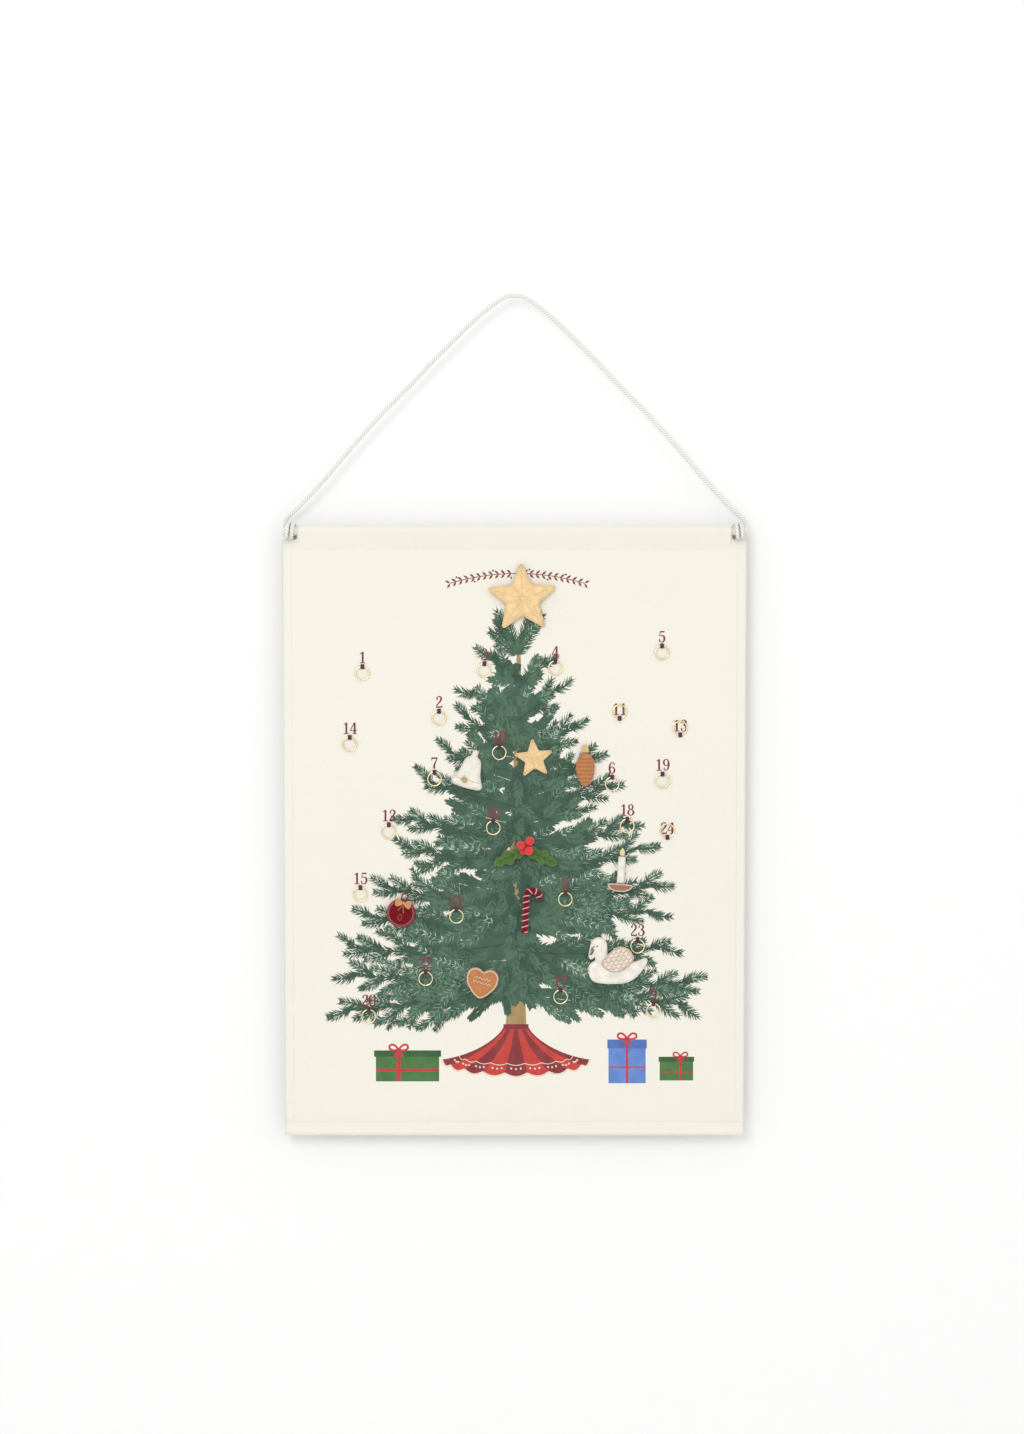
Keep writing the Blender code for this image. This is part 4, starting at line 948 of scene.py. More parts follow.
print_piece(skirts["wine"], "skirt_print_wine", ink("ink_wine", tone(136, 46, 50)))
print_piece(skirts["trim"], "skirt_print_trim", ink("ink_trim", tone(238, 214, 196)))

# %% Parcels
parcel_inks = {"blue": tone(98, 136, 206), "deep_blue": tone(78, 112, 180), "green": tone(72, 118, 62),
               "deep_green": tone(52, 94, 48), "ribbon": tone(200, 48, 58)}
parcel_forms = {name: Form() for name in parcel_inks}


def box_of(form, left, foot, wide, high, layer):
    """A rectangle with a softly bowed top."""
    u, v = np.linspace(0, 1, 9), np.linspace(0, 1, 9)[:, None]
    x = left + wide * u + 0 * v
    z = foot + v * (high + 0.010 * high * np.sin(math.pi * u))
    patch(form, np.stack([x, z], axis=-1), layer)


def parcel(paper, deep, left, foot, wide, high, ribbon_share, bow):
    """A box from the front: body, a darker lid, a ribbon both ways and a bow of two loops and two tails."""
    box_of(parcel_forms[paper], left, foot, wide, high * 0.80, 1)
    box_of(parcel_forms[deep], left - wide * 0.03, foot + high * 0.78, wide * 1.06, high * 0.20, 1.5)
    middle = left + wide * ribbon_share
    red = parcel_forms["ribbon"]
    ribbon(red, [(middle, foot), (middle, foot + high)], wide * 0.030, 3.2, smooth=False)
    ribbon(red, [(left, foot + high * 0.36), (left + wide, foot + high * 0.36)], wide * 0.020, 3.4, smooth=False)
    knot = np.array([middle, foot + high * 1.01])
    for side in (-1, 1):
        loop = np.array([(0, 0), (0.55, 0.55), (1.05, 0.55), (1.15, 0.12), (0.6, -0.12), (0, 0)])
        ribbon(red, knot + loop * bow * [side, 1], bow * 0.13, 2.5)
        tails = np.array([(0, 0), (0.35, -0.45), (0.55, -1.0)])
        ribbon(red, knot + tails * bow * [side, 1], bow * 0.10, 2.6)
    fan(red, knot + bow * 0.26 * (circle(12) * (1, 0.8)), 2.9)


parcel("green", "deep_green", -0.1490, -0.8420, 0.068, 0.034, 0.36, 0.0085)
parcel("blue", "deep_blue", 0.1010, -0.8440, 0.040, 0.048, 0.50, 0.0085)
parcel("green", "deep_green", 0.1560, -0.8410, 0.036, 0.026, 0.62, 0.0065)
for name, form in parcel_forms.items():
    print_piece(form, "parcel_print_" + name, ink("ink_" + name, parcel_inks[name]))

# %% A sprig over the star
sprig = Form()
SPRIG_HALF, SPRIG_RISE, LEAF_LONG = 0.072, 0.0105, 0.0068
arc = np.linspace(-1, 1, 23)
line = np.column_stack([0.003 + SPRIG_HALF * arc, -0.3065 + SPRIG_RISE * (1 - arc ** 2)])
ribbon(sprig, line, 0.00045, 1)
leaf = np.array([(0, 0), (0.5, 0.19), (1, 0), (0.5, -0.19)])
slope = np.arctan2(-2 * SPRIG_RISE * arc, SPRIG_HALF)
for side in (-1, 1):
    outward = np.sign(arc) + (arc == 0)
    way = slope + side * 0.75 * outward + (outward < 0) * math.pi
    ahead = np.stack([np.cos(way), np.sin(way)], -1)[:, None] * leaf[None, :, :1]
    across = np.stack([-np.sin(way), np.cos(way)], -1)[:, None] * leaf[None, :, 1:]
    lay_ink(sprig, line[:, None] + LEAF_LONG * (ahead + across), 1.5)
for place, turn_side in zip(line[1:-1:3], [1, -1] * 4):
    fan(sprig, place + np.array([0.0, 0.0045 * turn_side]) + DOT * circle(12), 2)
burgundy = ink("ink_burgundy", tone(128, 48, 60))
print_piece(sprig, "sprig_print", burgundy)

# %% [markdown]
# ## Numbers and rings
# Each day has a printed number, and a brass ring below it that hangs in a loop of thread. The figures are my own
# slab-serif digits: every stroke is a path with a width at each point, drawn in a box one unit high.

# %% Digits
DIGIT_HIGH = 0.0128
DIGIT_STEP = 0.0078
DIGIT_WIDE = 0.62
# Each stroke: points as (across, up, half width)
digit_strokes = {
    "0": [[(0.31, 0.97, .03), (0.48, 0.84, .07), (0.53, 0.5, .09), (0.48, 0.16, .07), (0.31, 0.03, .03),
           (0.14, 0.16, .07), (0.09, 0.5, .09), (0.14, 0.84, .07)]],
    "1": [[(0.33, 0.02, .085), (0.33, 0.97, .085)], [(0.10, 0.035, .035), (0.56, 0.035, .035)],
          [(0.10, 0.80, .035), (0.25, 0.86, .04), (0.33, 0.94, .04)]],
    "2": [[(0.13, 0.70, .05), (0.14, 0.84, .05), (0.30, 0.96, .04), (0.47, 0.86, .08), (0.47, 0.66, .08),
           (0.30, 0.42, .06), (0.13, 0.22, .045), (0.09, 0.06, .04)],
          [(0.07, 0.065, .065), (0.55, 0.065, .065)], [(0.54, 0.05, .04), (0.57, 0.25, .03)],
          [(0.10, 0.73, .07), (0.20, 0.73, .07)]],
    "3": [[(0.13, 0.78, .05), (0.20, 0.92, .04), (0.34, 0.96, .04), (0.47, 0.84, .08), (0.44, 0.64, .07),
           (0.28, 0.54, .035)],
          [(0.26, 0.54, .035), (0.46, 0.46, .07), (0.52, 0.28, .09), (0.44, 0.08, .06), (0.28, 0.03, .035),
           (0.13, 0.10, .045), (0.10, 0.22, .05)],
          [(0.10, 0.76, .065), (0.20, 0.76, .065)], [(0.07, 0.24, .065), (0.18, 0.24, .065)]],
    "4": [[(0.42, 0.02, .085), (0.42, 0.97, .085)], [(0.24, 0.035, .035), (0.60, 0.035, .035)],
          [(0.38, 0.95, .04), (0.05, 0.31, .04)], [(0.03, 0.29, .04), (0.60, 0.29, .04)]],
    "5": [[(0.15, 0.91, .065), (0.52, 0.91, .065)], [(0.15, 0.95, .035), (0.12, 0.52, .035)],
          [(0.12, 0.53, .035), (0.30, 0.61, .04), (0.47, 0.51, .075), (0.51, 0.32, .09), (0.44, 0.10, .06),
           (0.28, 0.03, .035), (0.13, 0.09, .045), (0.09, 0.21, .05)], [(0.06, 0.23, .065), (0.17, 0.23, .065)]],
    "6": [[(0.49, 0.80, .05), (0.42, 0.93, .04), (0.30, 0.95, .04), (0.14, 0.76, .07), (0.10, 0.42, .09),
           (0.16, 0.13, .06), (0.31, 0.03, .035), (0.47, 0.14, .07), (0.51, 0.31, .08), (0.45, 0.49, .06),
           (0.31, 0.57, .035), (0.16, 0.47, .045)], [(0.43, 0.79, .065), (0.53, 0.79, .065)]],
    "7": [[(0.07, 0.90, .07), (0.56, 0.90, .07)], [(0.08, 0.94, .035), (0.07, 0.70, .03)],
          [(0.54, 0.86, .035), (0.38, 0.55, .06), (0.29, 0.28, .085), (0.28, 0.02, .09)]],
    "8": [[(0.31, 0.96, .03), (0.45, 0.86, .065), (0.46, 0.66, .07), (0.31, 0.54, .035), (0.16, 0.66, .07),
           (0.17, 0.86, .065)],
          [(0.31, 0.54, .035), (0.49, 0.42, .07), (0.52, 0.22, .085), (0.31, 0.03, .03), (0.10, 0.22, .085),
           (0.13, 0.42, .07)]],
}
digit_strokes["9"] = [[(DIGIT_WIDE - x, 0.99 - z, w) for x, z, w in stroke] for stroke in digit_strokes["6"]]
closed_digits = {("0", 0), ("8", 0), ("8", 1)}


def draw_number(form, number, centre):
    """Sets a number's digits side by side round a centre, each stroke a ribbon in layer 6."""
    word = str(number)
    for order, digit in enumerate(word):
        left = centre[0] + DIGIT_STEP * (order - len(word) / 2) + (DIGIT_STEP - DIGIT_WIDE * DIGIT_HIGH) / 2
        for count, stroke in enumerate(digit_strokes[digit]):
            stroke = np.array(stroke)
            path = np.column_stack([left + stroke[:, 0] * DIGIT_HIGH, centre[1] + (stroke[:, 1] - 0.5) * DIGIT_HIGH])
            ribbon(form, path, stroke[:, 2] * DIGIT_HIGH, 6 + count / 2, closed=(digit, count) in closed_digits,
                   smooth=len(stroke) > 2)

# %% Rings, their numbers and thread loops
NUMBER_RISE = 0.0100
LOOP_WIDE, LOOP_TALL, LOOP_OUT = 0.0040, 0.0052, 0.0024
STRANDS_IN_LOOP = 7
brass_finish = Finish("brass", 0.26, Metallic=1.0)
scratches = brass_finish.noise(brass_finish.place(), 900.0, 3.0)
tarnish = brass_finish.noise(brass_finish.place(), 160.0, 2.0)
dull_brass, clean_brass = (0.70, 0.60, 0.33, 1), (0.84, 0.75, 0.48, 1)
brass_finish.colour(brass_finish.mix(brass_finish.spread(tarnish, 0.0, 1.0), dull_brass, clean_brass))
brass_finish.rough(brass_finish.spread(scratches, 0.18, 0.34))
brass_finish.bump(scratches, 0.08, 0.00005)
numbers, loops, ties = Form(), Form(), Form()
turn = around(60)
bend = np.linspace(0, math.pi, 11)
for day in range(1, 25):
    low, high = (np.array(corner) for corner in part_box(f"ring_{day:02d}"))
    x = (low[0] + high[0]) / 2
    turned_up = day in (11, 13, 24)
    hinge = low[2] + RING_WIRE / 2 if turned_up else high[2] - RING_WIRE / 2
    middle = hinge + (RING_R if turned_up else -RING_R)
    ring_path = np.column_stack([x + RING_R * np.sin(turn), np.full(60, RING_Y), middle + RING_R * np.cos(turn)])
    ring_form = Form()
    tube(ring_form, ring_path, RING_WIRE / 2, sides=14, closed=True)
    ring_form.piece(f"brass_ring_{day:02d}", brass_finish.material, body=f"ring_{day:02d}_body", slot="brass",
                    replaces=[f"ring_{day:02d}"])
    draw_number(numbers, day, (x, hinge + NUMBER_RISE))
    wave = cloth_wave(x, hinge)
    for strand in range(STRANDS_IN_LOOP):
        offset = strand - (STRANDS_IN_LOOP - 1) / 2
        across = x + LOOP_WIDE * offset / STRANDS_IN_LOOP
        squeeze = 1 - 0.05 * abs(offset)
        path = np.column_stack([np.full(11, across), FRONT + wave - (LOOP_OUT - 0.0002 + wave) * np.sin(bend) ** 0.8,
                                hinge + squeeze * LOOP_TALL / 2 * np.cos(bend)])
        tube(loops, path, 0.00034, sides=7, facing=(1, 0, 0))
    back = wave + CLOTH / 2 + 0.00025
    spots = np.array([(x + s * LOOP_WIDE * 0.32, back, hinge + e * LOOP_TALL * 0.36)
                      for s in (-1, 0, 1) for e in (-1, 1)])
    stitches(ties, spots, (0.94, 0, 0.34), (0, 1, 0), 0.0021, 0.0006)
print_piece(numbers, "number_print", burgundy)
dark_thread = thread("ring_loop_thread", tone(96, 34, 46), twist=1400.0, shine=0.55, depth=0.00006)
loops.piece("ring_thread_loops", dark_thread, slot="canvas", uv="path")
ties.piece("ring_thread_ties", felt("tie_thread", tone(104, 40, 50), fibre=5000.0, depth=0.00005), slot="canvas")

# %% [markdown]
# ## Felt ornaments
# An ornament is a stuffed felt shape with a flat back. Its outline is filled with even points and cut into
# triangles by Blender's Delaunay helper. How high a point stands follows from its distance to the rim, by a
# quarter ellipse: steep at the rim and level inside, as stuffing does between two sewn layers.

# %% Outlines of stuffed shapes


def rounded(corners, radius, steps):
    """Each corner becomes an arc between its two tangent points, at most half a side away."""
    corner = np.asarray(corners, dtype=float)
    back, ahead = np.roll(corner, 1, axis=0) - corner, np.roll(corner, -1, axis=0) - corner
    lengths = np.linalg.norm(back, axis=1), np.linalg.norm(ahead, axis=1)
    half_angle = np.arccos(np.clip((unit(back) * unit(ahead)).sum(axis=1), -1, 1)) / 2
    reach = np.minimum(radius / np.tan(half_angle), np.minimum(*lengths) / 2)
    arc = reach * np.tan(half_angle)
    middle = corner + unit(unit(back) + unit(ahead)) * (arc / np.sin(half_angle))[:, None]
    start, end = corner + unit(back) * reach[:, None] - middle, corner + unit(ahead) * reach[:, None] - middle
    turn = np.arctan2(start[:, 0] * end[:, 1] - start[:, 1] * end[:, 0], (start * end).sum(axis=1))
    angle = np.arctan2(start[:, 1], start[:, 0])[:, None] + turn[:, None] * np.linspace(0, 1, steps + 1)
    return (middle[:, None] + arc[:, None, None] * np.stack([np.cos(angle), np.sin(angle)], -1)).reshape(-1, 2)


def rim_distance(flat, outline):
    """Distance from points to a closed outline: to the nearest point of its nearest side."""
    side = np.roll(outline, -1, axis=0) - outline
    away = flat[:, None] - outline[None]
    share = np.clip((away * side).sum(-1) / (side ** 2).sum(-1), 0, 1)
    return np.linalg.norm(away - share[..., None] * side, axis=-1).min(axis=1)


def inside(flat, outline):
    """True where a line to the right crosses the outline an odd number of times."""
    x, z = flat[:, 0:1], flat[:, 1:2]
    x0, z0 = outline[:, 0], outline[:, 1]
    x1, z1 = np.roll(x0, -1), np.roll(z0, -1)
    spans = (z0 > z) != (z1 > z)
    height = np.where(z1 == z0, 1e-12, z1 - z0)
    return (spans & (x < (x1 - x0) * (z - z0) / height + x0)).sum(axis=1) % 2 == 1

# %% Swelling a felt front
STUFFING_SCALE = 20.0
FRAMES = 20
SWELL = 0.0006


def blow_up(points, triangles, sewn):
    """Presses a front out as cloth that is 4 % too large, with its rim sewn down; returns how far each point rose."""
    mesh = bpy.data.meshes.new("stuffing")
    mesh.from_pydata(points * STUFFING_SCALE, [], triangles.tolist())
    trial = bpy.data.objects.new("stuffing", mesh)
    bpy.context.scene.collection.objects.link(trial)
    trial.vertex_groups.new(name="sewn").add(list(range(sewn)), 1.0, "REPLACE")
    cloth = trial.modifiers.new("stuffing", "CLOTH")
    cloth.settings.vertex_group_mass = "sewn"
    cloth.settings.use_pressure = True
    cloth.settings.uniform_pressure_force = 4.0
    cloth.settings.shrink_min = -0.04
    cloth.settings.effector_weights.gravity = 0.0
    cloth.collision_settings.use_collision = False
    for frame in range(1, FRAMES + 1):
        bpy.context.scene.frame_set(frame)
    blown = trial.evaluated_get(bpy.context.evaluated_depsgraph_get()).data
    place = np.zeros(3 * len(points))
    blown.vertices.foreach_get("co", place)
    bpy.data.objects.remove(trial)
    bpy.data.meshes.remove(mesh)
    bpy.context.scene.frame_set(1)
    rise = points[:, 1] - place.reshape(-1, 3)[:, 1] / STUFFING_SCALE
    print("  cloth rose from", round(rise.min() * 1000, 3), "to", round(rise.max() * 1000, 3), "mm")
    return SWELL * np.tanh(rise / SWELL)

# %% Pads


class Pad:
    """A stuffed shape with an outline: y of its front is back - side - crown·sqrt(1 - (1 - d/reach)²)."""

    def __init__(self, outline, side=0.0020, crown=0.0035, reach=0.006, back=ORNAMENT_BACK, spacing=0.0010):
        after = np.roll(outline, -1, axis=0)
        leftwards = (outline[:, 0] * after[:, 1] - after[:, 0] * outline[:, 1]).sum() > 0
        outline = outline if leftwards else outline[::-1]
        self.outline = evenly(np.vstack([outline, outline[:1]]), spacing)[:-1]
        self.back, self.side, self.crown, self.reach, self.spacing = back, side, crown, reach, spacing
        self.flat, self.triangles = self.cut()
        self.rise = np.zeros(len(self.flat))

    def cut(self):
        """Even points inside the outline, and triangles between them and it."""
        low, high = self.outline.min(axis=0), self.outline.max(axis=0)
        x, z = np.meshgrid(np.arange(low[0], high[0], self.spacing), np.arange(low[1], high[1], self.spacing * 0.87))
        x = x + self.spacing / 2 * (np.arange(len(z)) % 2)[:, None]
        field = np.column_stack([x.ravel(), z.ravel()])
        field = field[inside(field, self.outline)]
        field = field[rim_distance(field, self.outline) > self.spacing * 0.55]
        rim = len(self.outline)
        flat = np.vstack([self.outline, field])
        loop = [(k, (k + 1) % rim) for k in range(rim)]
        cut = delaunay_2d_cdt([Vector(p) for p in (flat * 1000).tolist()], loop, [list(range(rim))], 1, 1e-6)
        flat = np.array([tuple(point) for point in cut[0]]) / 1000
        triangles = np.array(cut[2])
        u, v, w = (flat[triangles[:, k]] for k in range(3))
        leftwards = (v[:, 0] - u[:, 0]) * (w[:, 1] - u[:, 1]) > (v[:, 1] - u[:, 1]) * (w[:, 0] - u[:, 0])
        return flat, np.where(leftwards[:, None], triangles, triangles[:, ::-1])

    def front(self, flat, lift=0.0):
        """Points (x, z) laid on the front, a little in front of it where lift says so."""
        flat = np.asarray(flat, dtype=float)
        deep = rim_distance(flat, self.outline) * inside(flat, self.outline)
        share = np.clip(deep / self.reach, 0, 1)
        near = 1 / (((flat[:, None] - self.flat[None]) ** 2).sum(axis=-1) + 1e-12) ** 2
        swell = (near * self.rise).sum(axis=1) / near.sum(axis=1)
        rise = self.side + self.crown * np.sqrt(1 - (1 - share) ** 2) + swell
        return np.column_stack([flat[:, 0], self.back - rise - lift, flat[:, 1]])

    def stuff(self):
        """Starts a little flatter and lets the cloth simulation swell the front."""
        self.crown -= SWELL
        self.rise = blow_up(self.front(self.flat), self.triangles, len(self.outline))

    def form(self):
        """Triangles for the front and the back, and a wall of quads between their rims."""
        rim, flat = len(self.outline), self.flat
        behind = np.column_stack([flat[:, 0], np.full(len(flat), self.back), flat[:, 1]])
        k = np.arange(rim)
        after = (k + 1) % rim
        form = Form()
        form.add(self.front(flat), self.triangles)
        form.add(behind, self.triangles[:, ::-1])
        form.faces.append(np.stack([k, k + len(flat), after + len(flat), after], axis=1))
        form.places.append(np.zeros((rim, 4, 2)))
        return form

# %% Where an ornament sits


def middle_of(node):
    """The middle of a CAD node's box."""
    low, high = (np.array(corner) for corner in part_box(node))
    return (low + high) / 2


class Ornament:
    """One ornament: it sits round its fastener dot, turned clockwise by its tilt, and rides on its own body."""

    def __init__(self, name, tilt_deg, rise=0.0):
        self.body, self.middle, self.rise = name + "_ornament", middle_of(name + "_dot"), rise
        self.cosine, self.sine = math.cos(math.radians(tilt_deg)), math.sin(math.radians(tilt_deg))

    def laid(self, points):
        """Local points turned and moved to the ornament's seat."""
        x, y, z = points[:, 0], points[:, 1], points[:, 2]
        return np.column_stack([self.middle[0] + x * self.cosine + z * self.sine, y,
                                self.middle[2] + self.rise + z * self.cosine - x * self.sine])

    def felt(self, name, form, material, slot, node):
        """A piece of felt that stands for its CAD node."""
        return form.piece(name, material, slot, body=self.body, replaces=[node], laid=self.laid)

    def stuffed(self, name, pad, material, slot, node):
        """A pad that is swollen by the cloth simulation and made as a piece of felt."""
        pad.stuff()
        self.felt(name, pad.form(), material, slot, node)

    def sewn(self, name, form, material, slot):
        """Thread or cord on the ornament, patterned along its own path."""
        form.piece(name, material, slot, body=self.body, uv="path", laid=self.laid)

# %% Thread and cord on a pad


def piping(form, pad, path, radius, closed=False, sides=8, smooth=True):
    """A cord that lies on a pad's front along a flat path."""
    line = smooth_path(path, 5, closed) if smooth else np.asarray(path, dtype=float)
    tube(form, pad.front(line, radius * 0.45), radius, sides=sides, closed=closed)


def inset(outline, distance, spacing):
    """The outline moved inwards along its own normals."""
    even = evenly(np.vstack([outline, outline[:1]]), spacing)[:-1]
    ahead = unit(np.roll(even, -1, axis=0) - np.roll(even, 1, axis=0))
    inwards = np.column_stack([-ahead[:, 1], ahead[:, 0]])
    turned = (even[:, 0] * np.roll(even[:, 1], -1) - np.roll(even[:, 0], -1) * even[:, 1]).sum()
    return even + inwards * distance * np.sign(turned)


def edge_stitches(form, pad, pitch, inward, length, thickness):
    """Short stitches across the rim, evenly round it, lying on the front."""
    outer = inset(pad.outline, inward - length / 2, pitch)
    inner_way = unit(inset(pad.outline, inward + length / 2, pitch) - outer)
    first, last = pad.front(outer, thickness * 0.3), pad.front(outer + inner_way * length, thickness * 0.3)
    along = unit(last - first)
    out = unit(np.array([0, -1, 0]) - along * (along @ np.array([0, -1, 0]))[:, None])
    stitches(form, (first + last) / 2, along, out, np.linalg.norm(last - first, axis=1), thickness)


def ellipse(wide, high, count, across=0.0, up=0.0):
    """Points round an ellipse: (half width·cos, half height·sin)."""
    turn = around(count)
    return np.column_stack([across + wide / 2 * np.cos(turn), up + high / 2 * np.sin(turn)])

# %% Fastener dots
loop_dots = Form()
dot_radii = {"star_topper": 0.008, "small_star": 0.005, "bell": 0.006, "pinecone": 0.005, "holly": 0.005,
             "candy_cane": 0.003, "bauble": 0.006, "heart": 0.006, "swan": 0.007, "candle": 0.0035}
profile = np.array([(0.0, 1.0), (0.90, 1.0), (0.98, 0.85), (1.0, 0.6), (1.0, 0.0), (0.0, 0.0)])
for name, radius in dot_radii.items():
    middle, turn = middle_of(name + "_dot"), around(40)
    x = middle[0] + radius * profile[:, :1] * np.cos(turn)
    z = middle[2] + radius * profile[:, :1] * np.sin(turn)
    y = FRONT + 0.0004 - (0.0012 * profile[:, 1:]) + 0 * x
    loop_dots.grid(np.stack([x, y, z], axis=-1)[::-1], round_columns=True)
loop_dots.piece("loop_fastener_dots", felt("loop_pile", tone(238, 236, 228), fibre=3800.0, depth=0.0005, fuzz=0.5),
                slot="hook_dot")
hooks = Finish("hook_tape", 0.5)
hook_place = hooks.node("Mapping", Vector=hooks.place(), Rotation=(-math.pi / 2, 0, 0))
hook_rows = weave_height(hooks, hook_place, 0.0014)
# Painted shade: the tape's colour is darker where its rows dip and paler on their tops.
hooks.colour(hooks.mix(hooks.spread(hook_rows, 0.0, 1.0), tone(214, 214, 208), tone(246, 246, 242)))
hooks.bump(hook_rows, 0.8, 0.0004)
for name in dot_radii:
    for slot in frame["nodes"][name + "_dot"].material_slots:
        slot.material = hooks.material

# %% [markdown]
# ### Stars
# Both stars are gold felt. A reach as deep as the star makes the stuffing rise to a soft ridge along each arm.

# %% Stars
gold_felt = felt("felt_gold", tone(250, 214, 158))
gold_thread = thread("gold_thread", tone(226, 178, 116))


def star_outline(radius, valley, tip):
    """Five tips and five valleys in turn round a circle, each corner rounded."""
    angle = math.pi / 2 + math.pi * np.arange(10) / 5
    size = np.where(np.arange(10) % 2 == 0, radius, valley)
    return rounded(np.column_stack([size * np.cos(angle), size * np.sin(angle)]), tip, 5)


for name, tilt, radius, valley, tip, crown, reach in (
        ("star_topper", -2, 0.0413, 0.0187, 0.0024, 0.0035, 0.0125),
        ("small_star", -5, 0.0236, 0.0102, 0.0016, 0.0028, 0.0075)):
    star = Ornament(name, tilt)
    pad = Pad(star_outline(radius, valley, tip), crown=crown, reach=reach)
    star.stuffed(name + "_felt", pad, gold_felt, "felt_gold", name)
    sewn = Form()
    edge_stitches(sewn, pad, 0.0021, 0.0011, 0.0016, 0.0005)
    tips = math.pi / 2 + TURN * np.arange(5) / 5
    for angle, size in [(a, radius * 0.80) for a in tips] + [(a + math.pi / 5, valley * 0.72) for a in tips]:
        run = np.arange(0.003, size, 0.0030)
        flat = np.column_stack([np.cos(angle) * run, np.sin(angle) * run])
        spots = pad.front(flat, 0.0001)
        stitches(sewn, spots, (math.cos(angle), 0, math.sin(angle)), (0, -1, 0), 0.0021, 0.00045)
    star.sewn(name + "_stitches", sewn, gold_thread, "felt_gold")

# %% [markdown]
# ### Bell, pinecone and holly
# Each ornament is sewn from a few felt pads. Lines of thread lie on the pads: a cord's path is drawn flat and
# then laid on the swollen front. The three berries are balls of felt.

# %% Bell
SEAT = 0.0003
THIN = 0.0012
PAD_THICK = 0.0055


def soft_outline(shares, half_width, height, across=0.0, up=0.0):
    """Smooth closed outline through points given as shares of a half width and a height."""
    points = np.array(shares, dtype=float) * (half_width, height) + (across, up)
    return smooth_path(points, 8, closed=True)


def mirrored(side):
    """The same points on the left."""
    return [(-x, z) for x, z in side]


ivory_felt = felt("felt_ivory", tone(248, 242, 230), depth=0.00018)
ivory_thread = thread("ivory_thread", tone(222, 212, 190))
bell_side = [(.50, -.030), (.86, -.005), (1.0, .080), (.88, .19), (.71, .36), (.61, .54), (.53, .70), (.38, .79),
             (.21, .84), (.17, .98)]
bell_shares = bell_side + [(0, 1)] + mirrored(bell_side[::-1]) + [(0, -0.040)]
bell = Ornament("bell", 16)
bell_pad = Pad(soft_outline(bell_shares, 0.017, 0.040, up=-0.020), reach=0.0055)
bell.stuffed("bell_felt", bell_pad, ivory_felt, "felt_ivory", "bell_body")
sewn = Form()
edge_stitches(sewn, bell_pad, 0.0019, 0.0010, 0.0014, 0.00045)
rim = np.column_stack([np.linspace(-0.0128, 0.0128, 24), np.full(24, -0.0130)])
piping(sewn, bell_pad, rim, 0.00035, smooth=False)
bell.sewn("bell_stitches", sewn, ivory_thread, "felt_ivory")
gilt_felt = felt("felt_gilt", tone(222, 190, 120))
gilt_thread = thread("gilt_thread", tone(214, 184, 128), shine=0.4)
clapper_felt = felt("felt_clapper", tone(230, 212, 166))
CLAPPER_X, CLAPPER_Z = -0.0035, -0.0135
clapper_pad = Pad(ellipse(0.0070, 0.0070, 40, CLAPPER_X, CLAPPER_Z), side=0.0006, crown=THIN, reach=0.0030,
                  back=ORNAMENT_BACK - PAD_THICK - SEAT, spacing=0.0005)
bell.felt("bell_clapper_felt", clapper_pad.form(), clapper_felt, "felt_gilt", "bell_clapper")
curl = np.linspace(0, 2.6 * TURN, 60)
curls = Form()
wide = 0.0030 * (0.35 + curl / curl[-1] * 0.6)
swirl = np.column_stack([CLAPPER_X + wide * np.cos(curl), CLAPPER_Z + wide * np.sin(curl)])
piping(curls, clapper_pad, swirl, 0.00030, smooth=False)
bell.sewn("bell_clapper_thread", curls, gilt_thread, "felt_gilt")

# %% Pinecone
brown_felt = felt("felt_brown", tone(202, 130, 74), fuzz=0.25)
brown_thread = thread("brown_thread", tone(160, 98, 56), shine=0.6)
pinecone = Ornament("pinecone", 0)
egg_turn = around(60)
egg = np.column_stack([0.0099 * np.cos(egg_turn) * (1 + 0.15 * np.sin(egg_turn)), 0.018 * np.sin(egg_turn)])
cone_pad = Pad(egg, reach=0.0070)
pinecone.stuffed("pinecone_felt", cone_pad, brown_felt, "felt_brown", "pinecone_body")
scales = Form()
for row, rise in enumerate(np.arange(-0.0125, 0.0140, 0.0042)):
    half = 0.0092 * math.sqrt(max(0.05, 1 - (rise / 0.0175) ** 2))
    x = np.linspace(-half, half, 40)
    scallop = np.abs(np.sin(math.pi * (x / 0.0042 + row % 2 / 2)))
    piping(scales, cone_pad, np.column_stack([x, rise - 0.0016 * scallop]), 0.00024, smooth=False)
edge_stitches(scales, cone_pad, 0.0018, 0.0009, 0.0012, 0.0004)
pinecone.sewn("pinecone_stitches", scales, brown_thread, "felt_brown")
half, foot = 0.00425, 0.018 + SEAT
cap = [(-half, foot), (half, foot), (0.6 * half, foot + 0.0085), (-0.6 * half, foot + 0.0085)]
cap_pad = Pad(rounded(cap, THIN, 4), crown=THIN, reach=0.0022, spacing=0.0006)
pinecone.felt("pinecone_cap_felt", cap_pad.form(), gilt_felt, "felt_gilt", "pinecone_cap")

# %% Holly
leaf_felt = felt("felt_leaf", tone(80, 118, 46), fuzz=0.2)
leaf_thread = thread("leaf_thread", tone(54, 92, 34), shine=0.6)
holly = Ornament("holly", 0)
upper_leaf = np.array([(0, .22), (.17, .78), (.34, .52), (.52, 1), (.68, .50), (.84, .60)]) * (0.0375, 0.00925)
leaf_flat = np.vstack([upper_leaf, [(0.0375, 0)], upper_leaf[::-1] * (1, -1)]) + (0.0014, 0)
DROOP = math.radians(26)
veins = Form()


def drooped(flat, side):
    """Points of a leaf, turned down by its droop to the left (-1) or the right (1)."""
    along, up = np.array(flat, dtype=float).T
    return np.column_stack([side * (along * math.cos(DROOP) + up * math.sin(DROOP)),
                            up * math.cos(DROOP) - along * math.sin(DROOP)])


